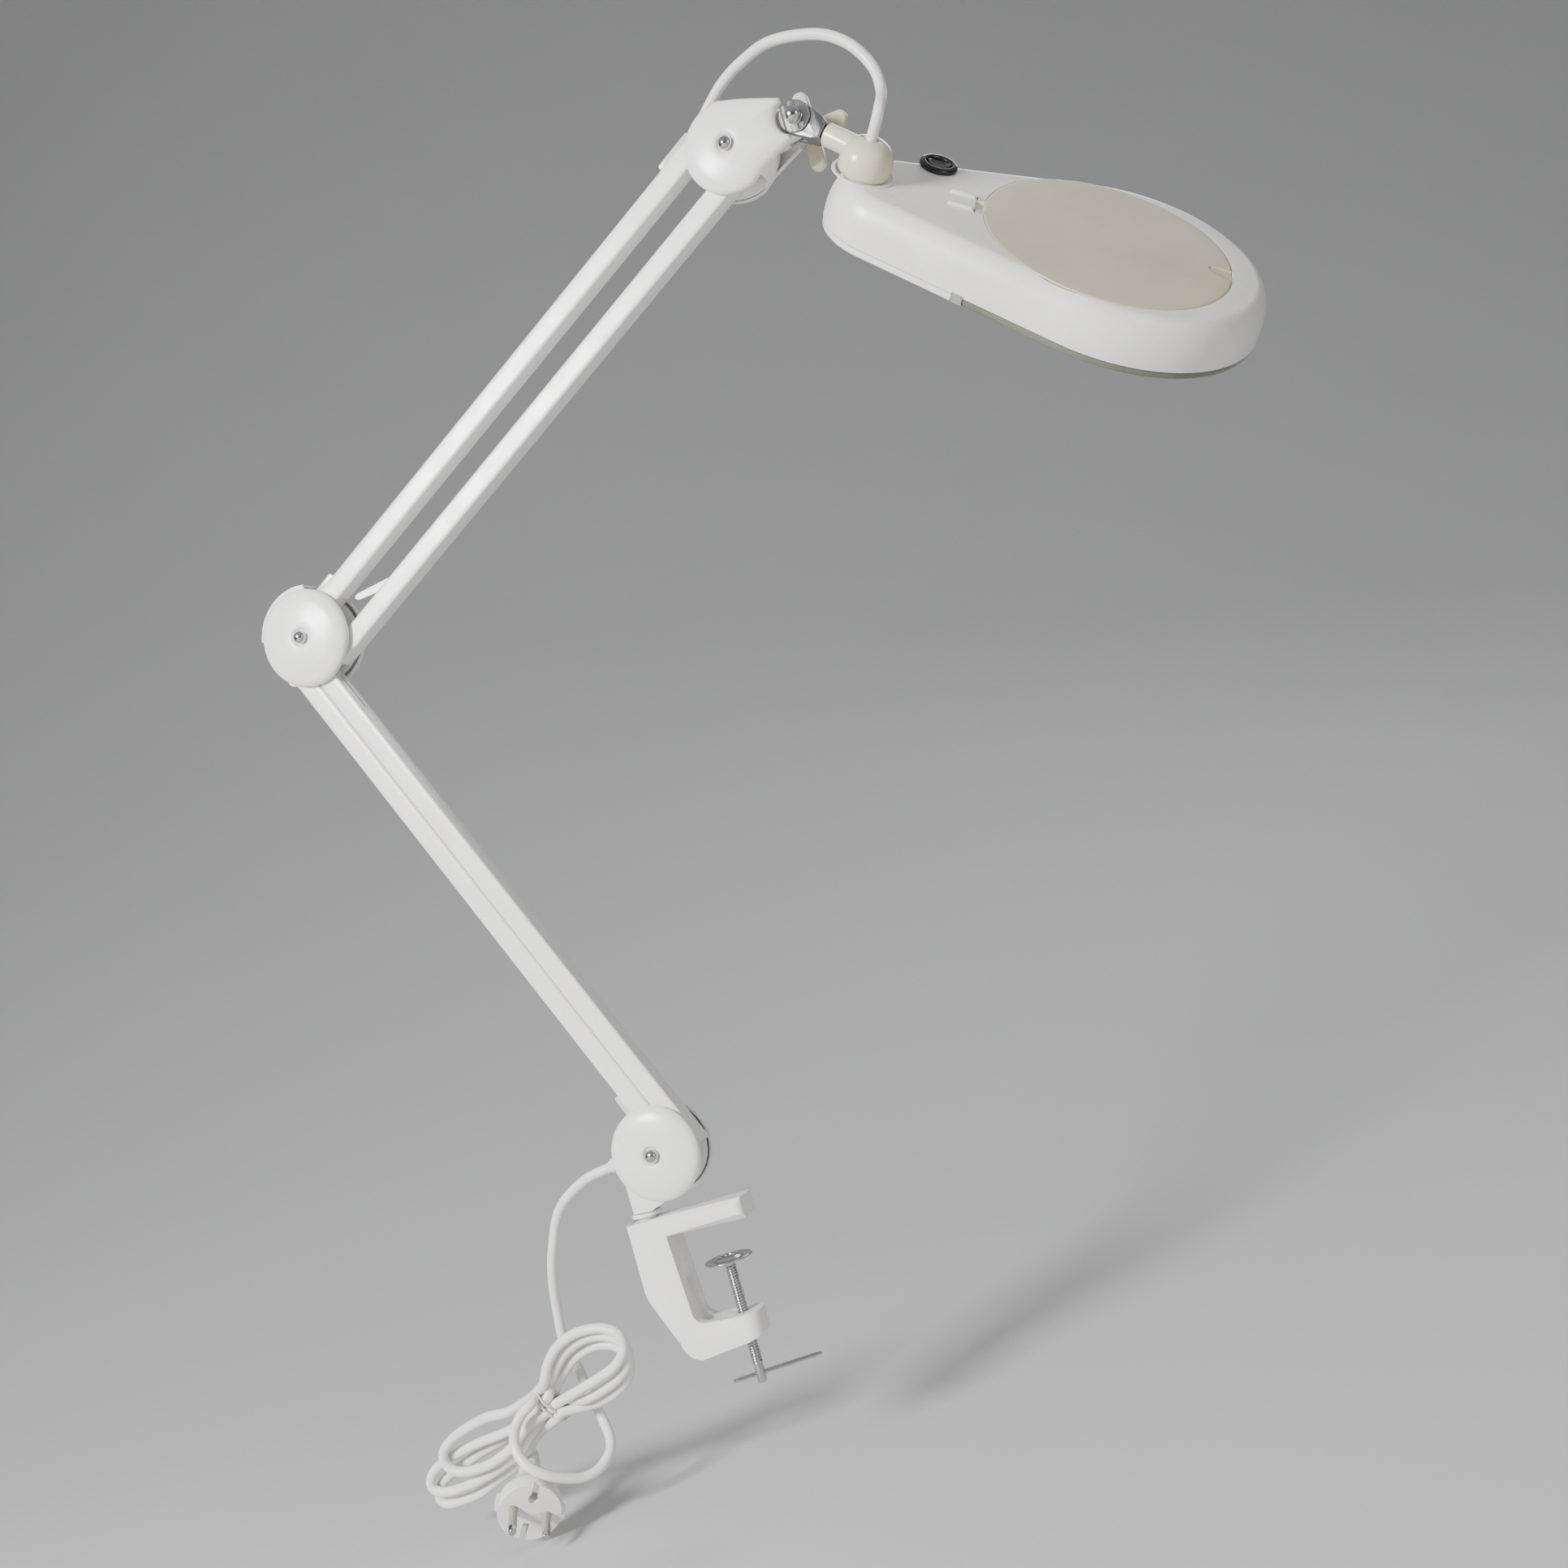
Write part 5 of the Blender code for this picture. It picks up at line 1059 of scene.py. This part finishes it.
def head_underside():
    low = HEAD_BOTTOM - GAP - RIM_THICKNESS
    levels = [(1.2, low), (0.5, low + 0.7), (0.5, HEAD_BOTTOM - GAP)]
    base = build_mesh("head_plate", end_mesh(levels, False, LIGHT_START - GAP, 56), HEAD_FRAME, 30)
    slots = []
    for u in (4.0, 10.0, 16.0, 22.0, 28.0):
        bar = filleted(rect(u - 1.2, u + 1.2, -12.0, 12.0), 1.1, 4)
        slots.append(moved(slab(bar, low - 1.0, low + 1.0), HEAD_FRAME))
    carve(base, slots, "DIFFERENCE", 30)
    place_piece(base, "head", SHELL, "white_plastic", "head_base")

    levels = [(2.4, low), (1.2, low + 0.5), (0.6, low + 1.6), (0.5, HEAD_BOTTOM - GAP)]
    cover = build_mesh("diffuser_cover", end_mesh(levels, True, LIGHT_START + GAP, 120), HEAD_FRAME, 40)
    carve(cover, [disc(LENS_CENTRE, 0, RING_IN, -60.0, -30.0)], "DIFFERENCE", 40)
    place_piece(cover, "head", SMOKE, "smoke_diffuser", "diffuser_ring")

    slant = math.degrees(math.atan2(HEAD_WIDE[1] - HEAD_NARROW[1], HEAD_WIDE[0] - HEAD_NARROW[0]))
    clips = []
    for u, v, turn in ((LIGHT_START + 2.0, -55.6, -slant), (HEAD_WIDE[0] + 80.6, 0.0, 90.0)):
        clip = slab(filleted(rect(-3.4, 3.4, -0.5, 0.6), 0.3, 3), low + 0.6, HEAD_BOTTOM + 1.6)
        clips.append(moved(clip, HEAD_FRAME @ shift(u, v, 0) @ spin(turn, "Z")))
    place_piece(build_mesh("rim_clips", joined(*clips)), "head", CHROME, "chrome")

    board = lathe(rect(RING_IN + 0.4, 72.6, -31.2, -29.6), 96)
    place_piece(build_mesh("lamp_board", board, HEAD_FRAME @ shift(LENS_CENTRE, 0, 0)), "head", BOARD,
        "circuit_board", "light_board")
    chip = slab(filleted(rect(67.4, 70.6, -1.2, 1.2), 0.3, 2), -31.9, -31.1)
    chips = [moved(chip, HEAD_FRAME @ shift(LENS_CENTRE, 0, 0) @ spin(7.5 * k, "Z")) for k in range(48)]
    place_piece(build_mesh("lamp_chips", joined(*chips)), "head", PHOSPHOR, "circuit_board")


def lens_and_holder():
    middle = -21.5
    radius = 352.0
    rise = radius - math.sqrt(radius ** 2 - LENS_RADIUS ** 2)
    face = []
    for k in range(25):
        r = LENS_RADIUS * k / 24
        face.append((r, 1.2 + rise - (radius - math.sqrt(radius ** 2 - r ** 2))))
    profile = [(r, middle - h) for r, h in face] + [(r, middle + h) for r, h in reversed(face)]
    glass = build_mesh("lens_disc", lathe(profile, 128), HEAD_FRAME @ shift(LENS_CENTRE, 0, 0), 40)
    place_piece(glass, "head", GLASS, "lens_glass", "lens")

    bore = LENS_RADIUS + GAP
    profile = filleted([(bore, -40.0), (RING_IN - GAP, -40.0), (RING_IN - GAP, -15.0), (bore - 2.6, -15.0),
        (bore - 2.6, -18.6), (bore, -18.6)], 0.3, 3)
    holder = build_mesh("lens_collar", lathe(profile, 128), HEAD_FRAME @ shift(LENS_CENTRE, 0, 0), 30)
    place_piece(holder, "head", SHELL, "white_plastic", "lens_holder")


def lid():
    """Round lid with hinge arms; built in the frame of its hinge."""
    place = HEAD_FRAME @ shift(HINGE_U, 0, HINGE_N)
    centre = LENS_CENTRE - HINGE_U
    top = HEAD_TOP - HINGE_N + 0.3
    low = HEAD_TOP - 1.6 + GAP - HINGE_N
    rim = [(0, low), (COVER_RADIUS - 0.7, low), (COVER_RADIUS, low + 0.6), (COVER_RADIUS, top - 0.75),
        (COVER_RADIUS - 0.2, top - 0.3), (COVER_RADIUS - 0.8, top - 0.05), (COVER_RADIUS - 1.6, top)]
    rings = [(r, top) for r in (60.0, 48.0, 36.0, 24.0, 12.0)] + [(0, top)]
    cover = build_mesh("lid_disc", lathe(rim + rings, 144), place @ shift(centre, 0, 0), 30)
    arms = []
    for side in (-1, 1):
        bar = filleted([(-1.6, low + 0.1, 0.6), (8.0, low + 0.1, 0.1), (8.0, top - 0.05, 0.1),
            (-1.6, top - 0.05, 0.6)], 0.3, 4)
        arms.append(moved(prism(bar, *sorted((side * 6.0, side * 9.0))), place))
    carve(cover, arms, "UNION", 30)
    far = centre + COVER_RADIUS
    wedge = filleted([(far + 1.5, -8.6, 0.0), (far + 1.5, 5.4, 0.0), (far - 12.8, 4.4, 1.6),
        (far - 14.0, -0.6, 2.4), (far - 5.0, -6.4, 2.0)], 1.0, 6)
    floor = [(x, y, top - 0.3 - 1.0 * min(1.0, (x - far + 14.0) / 13.0)) for x, y in wedge]
    scoop = [floor, [(x, y, top + 0.5) for x, y in wedge]]
    carve(cover, [moved(loft(scoop), place)], "DIFFERENCE", 30)
    place_piece(cover, "cover", COVER, "beige_cover", "lens_cover")


def switch():
    place = HEAD_FRAME @ shift(*SWITCH_AT, 0)
    seat = HEAD_TOP + GAP
    profile = filleted([(6.9, -30.0), (8.5, -30.0), (8.5, seat), (SWITCH_RADIUS, seat, 0.2),
        (SWITCH_RADIUS, seat + 1.6, 0.7), (9.6, seat + 2.6, 0.9), (7.8, seat + 2.8, 0.6),
        (6.9, seat + 1.8)], 0.2, 5)
    bezel = build_mesh("switch_bezel", lathe(profile, 96), place, 50)
    place_piece(bezel, "head", BLACK, "black_plastic", "switch_body")
    rings = []
    for radius, drop in ((4.6, 6.6), (6.0, 3.0), (6.5, 0.6), (6.3, 0.2), (5.9, 0.0), (4.4, 0.0), (2.9, 0.0),
            (1.4, 0.0), (0.2, 0.0)):
        rings.append([(x, y, 1.5 + 0.034 * x * x - drop) for x, y in circle(0, 0, radius, 72)])
    rocker = build_mesh("switch_paddle", loft(rings), HEAD_FRAME @ shift(*SWITCH_AT, HEAD_TOP), 50)
    place_piece(rocker, "rocker", BLACK, "black_plastic", "switch_rocker")


# ---- cords ----
LEAD_EXIT = (-52.0, 0.0, 43.0)
FREE_LEAD = [LEAD_EXIT, (-71, 0, 39), (-91, 0, 26.5), (-104, 3, 5), (-112.5, 8, -14), (-117, 12, -30),
    (-119.8, 14, -48), (-118.5, 15, -60), (-115.5, 15, -70), (-114, 15, -80), (-111, 14.5, -90),
    (-107, 12, -100.5), (-103, 7, -109), (-102.5, 1, -115), (-107.5, -6, -120.5), (-114.2, -13, -121.5),
    (-121.3, -20, -118), (-129, -26, -112.5), (-136.7, -28.5, -106.1), (-142.8, -27, -99),
    (-145.7, -23.5, -91.9), (-146, -18.5, -86), (-142, -15, -80), (-136, -11, -76)]
TIE = Vector((-129.5, 0.0, -79.8))
TIE_ALONG = Vector((0.86, 0.0, 0.51))
TIE_ACROSS = Vector((0.51, 0.0, -0.86))
UPPER_LOOPS = [(-7, [(-126, -65), (-121.4, -56.9), (-112.9, -48.6), (-102.3, -43.7), (-91.4, -42.2),
    (-80.8, -43.3), (-73.1, -47.2), (-70.9, -54.5), (-74.1, -60.7), (-82.3, -66.7), (-93.9, -70.9),
    (-105.4, -74.7)]), (-2, [(-124, -66), (-118.5, -60), (-111.2, -53.6), (-100.6, -49.1), (-90.5, -47.9),
    (-81.9, -49.4), (-75.5, -53.7), (-72.5, -60.5), (-75.5, -68), (-83.1, -74), (-94.9, -78.9),
    (-107.6, -81.9)]), (3, [(-122, -69), (-117, -64.5), (-108, -58.3), (-96.4, -54.8), (-87.4, -55),
    (-79.9, -58.1), (-75.7, -65.1), (-77.2, -72.9), (-84.1, -79.8), (-95.3, -84.7), (-108, -87)]),
    (8, [(-129, -64), (-126, -60), (-119.6, -54.3), (-109.1, -49.4), (-98, -47.7), (-88, -49.1),
    (-80.8, -53.3), (-78, -60.8), (-79.1, -68.6), (-86.1, -76.7), (-98.4, -82.7), (-111.5, -85.5)])]
LOWER_LOOPS = [(-7, [(-145.6, -89.8), (-156.1, -98), (-164.2, -102.5), (-176.4, -107), (-189.1, -108.6),
    (-199.7, -107.5), (-205.5, -101.9), (-204.7, -95), (-196.5, -88.6), (-184, -83.6), (-169.3, -79.9),
    (-152.8, -78.8)]), (-1, [(-144.7, -93.5), (-153.8, -101.4), (-162.1, -106.5), (-174.7, -112.1),
    (-186.8, -116.1), (-201.5, -119.2), (-215.6, -120.1), (-222.8, -116.4), (-221.4, -109.7),
    (-213.3, -103.8), (-199.3, -98.9), (-183, -95.3), (-168.7, -93.1), (-157.1, -90.4), (-147.7, -86.1)]),
    (5, [(-147, -98.1), (-157.8, -107.3), (-168, -114.5), (-180.5, -119.7), (-194.7, -125.8),
    (-208, -128.5), (-219.4, -129.2), (-223.9, -125), (-222.1, -119.3), (-214.4, -113.3), (-201.6, -108.1),
    (-186, -102.3), (-171, -98.1), (-158.7, -93.6), (-147.3, -87.3)])]
TIE_UP = [(-9.3, -3.4), (-9.3, 3.2), (-3.2, 3.4), (-3.2, -3.2)]
TIE_DOWN = [(3.1, -3.2), (3.1, 3.4), (9.2, -3.2), (9.2, 3.2)]
PLUG_TOP = Vector((-162.0, 15.0, -112.0))
PLUG_PINS = Vector((0.356, -0.873, -0.335))
PLUG_ACROSS = Vector((0.739, 0.483, -0.469))
PLUG_LENGTH = 53.0
PLUG_RADIUS = 18.2
PIN_SPACING = 19.0
PIN_LENGTH = 19.0


def tie_point(spot, along):
    across, depth = spot
    return TIE + TIE_ACROSS * across + Vector((0, depth, 0)) + TIE_ALONG * along


def lead_route():
    """From the base through the free loop and the tied loops to the plug's neck."""
    route = [Vector(p) for p in FREE_LEAD]
    for turn in range(4):
        route += [tie_point(TIE_UP[turn], along) for along in (-3.0, 3.0)]
        depth, loop = UPPER_LOOPS[turn]
        route += [Vector((x, depth, z)) for x, z in loop]
        route += [tie_point(TIE_DOWN[turn], along) for along in (3.0, -3.0)]
        if turn < 3:
            depth, loop = LOWER_LOOPS[turn]
            route += [Vector((x, depth, z)) for x, z in loop]
    back = -PLUG_PINS.normalized()
    route += [Vector((-140.0, 13.0, -94.0)), Vector((-153.0, 22.5, -101.0)),
        PLUG_TOP + back * 10.0 + Vector((0.8, -1.0, 1.4)), PLUG_TOP + back * 3.0, PLUG_TOP]
    return smooth_points(route, 2.4)


def cord_curve(name, points):
    curve = bpy.data.curves.new(name, "CURVE")
    curve.dimensions = "3D"
    curve.bevel_depth = CORD_RADIUS * MM
    curve.bevel_resolution = 5
    curve.use_fill_caps = True
    line = curve.splines.new("POLY")
    line.points.add(len(points) - 1)
    for spot, point in zip(line.points, points):
        spot.co = (*(point * MM), 1.0)
    line.use_smooth = True
    obj = bpy.data.objects.new(name, curve)
    bpy.context.collection.objects.link(obj)
    return obj


def plug():
    back = -PLUG_PINS.normalized()
    across = (PLUG_ACROSS - back * PLUG_ACROSS.dot(back)).normalized()
    turn = Matrix((across, back.cross(across), back)).transposed().to_4x4()
    place = Matrix.Translation(PLUG_TOP) @ turn
    face = -PLUG_LENGTH
    profile = filleted([(0, face), (PLUG_RADIUS, face, 0.7), (PLUG_RADIUS, face + 9.0, 1.2),
        (16.6, face + 11.5, 1.5), (10.6, face + 22.0, 4.0), (7.4, face + 31.0, 4.0),
        (6.9, face + 37.0, 0.6), (6.3, face + 37.6, 0.4), (0, face + 37.6)], 1.0, 6, False)
    body = build_mesh("plug_body", lathe(profile, 96), place, 35)
    tabs = []
    for side in (-1, 1):
        tab = filleted([(side * 16.0, -3.8, 0.2), (side * 19.6, -3.4), (side * 19.6, 3.2),
            (side * 16.0, 3.6, 0.2)], 0.9, 5)
        tabs.append(moved(slab(tab, face + 1.2, face + 8.4), place))
    carve(body, tabs, "UNION", 35)
    low_face = filleted([(-20.0, -1.5), (-14.0, -2.6), (-9.5, -3.4), (-5.0, -1.6), (0.0, 1.2), (4.0, 0.6),
        (9.5, -3.2), (14.0, -1.0), (20.0, -3.6), (20.0, 20.0, 0), (-20.0, 20.0, 0)], 2.0, 5)
    slot = filleted([(-2.1, 7.6), (2.1, 7.6), (1.8, 21.0, 0), (-1.8, 21.0, 0)], 1.6, 6)
    channel = filleted([(-1.9, -21.0, 0), (1.9, -21.0, 0), (1.9, -9.0), (-1.9, -9.0)], 0.2, 3)
    depths = ((low_face, 0.9), (slot, 11.0), (channel, 2.6))
    cutters = [moved(slab(outline, face - 1.0, face + deep), place) for outline, deep in depths]
    cutters.append(moved(rod(3.0, face - 1, face + 8.0), place @ shift(0, -9.0, 0)))
    carve(body, cutters, "DIFFERENCE", 35)
    relief = []
    for k in range(6):
        high = face + 37.2 + 2.6 * k
        size = 6.2 - 0.28 * k
        relief += [(size, high + 0.2), (size, high + 1.7), (size - 1.0, high + 1.9),
            (size - 1.0, high + 2.4)]
    relief = [(0, face + 37.0)] + relief + [(3.3, 0.0), (0, 0.0)]
    neck = build_mesh("plug_relief", lathe(relief, 56), place, 35)
    pins = []
    sleeves = []
    tip = face - PIN_LENGTH
    for side in (-1, 1):
        spot = place @ shift(side * PIN_SPACING / 2, 0, 0)
        pin = filleted([(0, tip), (2.25, tip, 1.9), (2.25, tip + 5.4, 0), (0, tip + 5.4)], 1.0, 8, False)
        pins.append(moved(lathe(pin, 40), spot))
        sleeve = filleted([(2.2, tip + 4.6), (2.45, tip + 4.9), (2.45, face - 3.0), (2.9, face + 1.4),
            (0, face + 1.4), (0, tip + 5.2)], 0.3, 3)
        sleeves.append(moved(lathe(sleeve, 40), spot))
    place_piece(body, "swivel_base", CABLE, "white_cable", "mains_plug")
    place_piece(neck, "swivel_base", CABLE, "white_cable")
    metal = place_piece(build_mesh("plug_pins", joined(*pins)), "swivel_base", CHROME, "chrome")
    covers = place_piece(build_mesh("pin_sleeves", joined(*sleeves)), "swivel_base", SLEEVE,
        "cream_plastic")
    return [body, neck, metal, covers]


def rubber_tie():
    """Rubber band wound twice round the bundle."""
    strands = []
    for k in range(2):
        points = []
        for i in range(49):
            turn = 2 * math.pi * i / 48
            swell = 1.0 + 0.02 * math.sin(3 * turn + k)
            drift = -1.4 + 2.4 * k + 1.2 * math.sin(turn + 1.3 * k)
            depth = (7.6 + 0.5 * k) * swell * math.sin(turn)
            points.append(tie_point((12.9 * swell * math.cos(turn), depth), drift))
        strands.append(tube_along(points, 0.6, 10, 0.8))
    band = build_mesh("rubber_tie", joined(*strands), None, 60)
    place_piece(band, "swivel_base", BAND, "white_cable")
    return band


def mains_lead():
    points = lead_route()
    lead = cord_curve("lead_cord", points)
    place_piece(lead, "swivel_base", CABLE, "white_cable", "mains_lead", "lead_hank")
    pieces = plug() + [rubber_tie()]
    profile = filleted([(3.3, -3.0), (5.0, -3.0), (5.0, 0.0), (4.6, 3.0), (3.9, 9.0), (3.3, 9.0)], 0.4, 4)
    gland = build_mesh("lead_boot", lathe(profile, 48), shift(*LEAD_EXIT) @ spin(-100, "Y")
        @ shift(0, 0, -9.3), 40)
    place_piece(gland, "swivel_base", CABLE, "white_cable", "lead_gland")
    round(path_length(points) * MM, 3)


def head_cord():
    """Two lengths that meet above the knuckle."""
    across = [(-11.4, 25.0), (3.4, 37.4), (18.1, 44.3), (36.3, 47.8), (60.6, 41.0), (75.8, 29.0),
        (84.8, 12.1), (85.7, -1.9)]
    route = [Vector((HEAD_BOLT[0] + x, 0.0, HEAD_BOLT[1] + z)) for x, z in across]
    route += [DOME_FRAME @ Vector((0, 0, 24.0)), DOME_FRAME @ Vector((0, 0, 7.0))]
    points = smooth_points(route, 1.6)
    middle = min(range(len(points)), key=lambda i: abs(points[i].x - KNUCKLE_AT[0]))
    lengths = (("cord_over_mount", "head_cord_arm", points[:middle + 1], ("head_mount", "knuckle")),
        ("cord_over_stem", "head_cord_dome", points[middle:], ("knuckle", "stem")))
    for name, node, part, bodies in lengths:
        cord = build_mesh(name, tube_along(part, CORD_RADIUS, 22), None, 60)
        cord.data.materials.append(CABLE)
        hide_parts(node)
        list(bodies)
        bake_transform(cord)
        round(path_length(part) * MM, 4)
        [p * MM for p in part]


def small_parts():
    """Pieces whose plain solids have the right shape and only need a finish."""
    looks = {"swivel_post": STEEL, "driver_box": BLACK, "head_swivel_tube": STEEL}
    for prefix in ("base_pin_main", "base_pin_link", "elbow_pin_lower_main", "elbow_pin_lower_link",
            "elbow_pin_upper_main", "elbow_pin_upper_link", "head_pin_main", "head_pin_link"):
        looks[prefix] = STEEL
    for node, look in looks.items():
        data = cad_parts[node].data
        data.materials.clear()
        data.materials.append(look)


# ---- stage ----
def stage():
    bend = 3600.0
    behind = 500.0
    profile = [(-4000.0, 0.0), (behind, 0.0)]
    profile += [(behind + bend * math.sin(math.radians(a)), bend - bend * math.cos(math.radians(a)))
        for a in range(3, 91, 3)]
    profile.append((behind + bend, 7000.0))
    outline = profile + [(x + 12.0, z - 12.0) for x, z in reversed(profile)]
    sweep = build_mesh("floor", prism(outline, -9000.0, 9000.0), shift(0, 0, FLOOR) @ spin(108.8, "Z"), 60)
    ground = Look("floor_paper", (0.52, 0.52, 0.52), 0.8)
    ground.paint(ground.mix(ground.noise(3.0, 3.0), (0.53, 0.53, 0.53), (0.505, 0.505, 0.505)))
    ground.bump(ground.noise(800.0, 3.0), 0.05, 0.0005)
    sweep.data.materials.append(ground.material)

    world = bpy.data.worlds.new("studio")
    bpy.context.scene.world = world
    world.use_nodes = True
    background = world.node_tree.nodes["Background"]
    background.inputs["Color"].default_value = (0.80, 0.81, 0.83, 1.0)
    direction = world.node_tree.nodes.new("ShaderNodeTexCoord")
    height = world.node_tree.nodes.new("ShaderNodeSeparateXYZ")
    strength = world.node_tree.nodes.new("ShaderNodeMapRange")
    for key, number in (("From Min", -0.1), ("From Max", 0.7), ("To Min", 0.06), ("To Max", 0.55)):
        strength.inputs[key].default_value = number
    world.node_tree.links.new(direction.outputs["Generated"], height.inputs["Vector"])
    world.node_tree.links.new(height.outputs["Z"], strength.inputs["Value"])
    world.node_tree.links.new(strength.outputs["Result"], background.inputs["Strength"])

    aim = Vector((0.05, 0.0, 0.28))
    for name, spot, size, power in (("key", (-0.9, -2.0, 1.1), 0.7, 118.0),
            ("fill", (1.8, -1.0, 0.5), 1.0, 7.0), ("back", (0.5, 1.6, 1.7), 1.0, 10.0)):
        data = bpy.data.lights.new(name, "AREA")
        data.shape = "DISK"
        data.size = size
        data.energy = power
        lamp = bpy.data.objects.new(name, data)
        lamp.location = spot
        lamp.rotation_euler = (aim - Vector(spot)).to_track_quat("-Z", "Y").to_euler()
        bpy.context.collection.objects.link(lamp)


def camera():
    data = bpy.data.cameras.new("camera")
    data.lens = CAMERA_LENS
    data.sensor_width = 36.0
    data.clip_end = 50.0
    view = bpy.data.objects.new("camera", data)
    back = CAMERA_RIGHT.cross(CAMERA_UP).normalized()
    up = back.cross(CAMERA_RIGHT).normalized()
    turn = Matrix((CAMERA_RIGHT.normalized(), up, back)).transposed()
    view.matrix_world = Matrix.Translation(CAMERA_AT) @ turn.to_4x4()
    bpy.context.collection.objects.link(view)
    bpy.context.scene.camera = view


# ---- scene ----
for build in (camera, stage, mains_lead, head_cord, clamp, clamp_pad, clamp_screw, tommy, arms, springs,
        brackets, caps_and_bolts, knuckle, stem, head_shell, head_underside, lens_and_holder, lid, switch,
        small_parts):
    build()
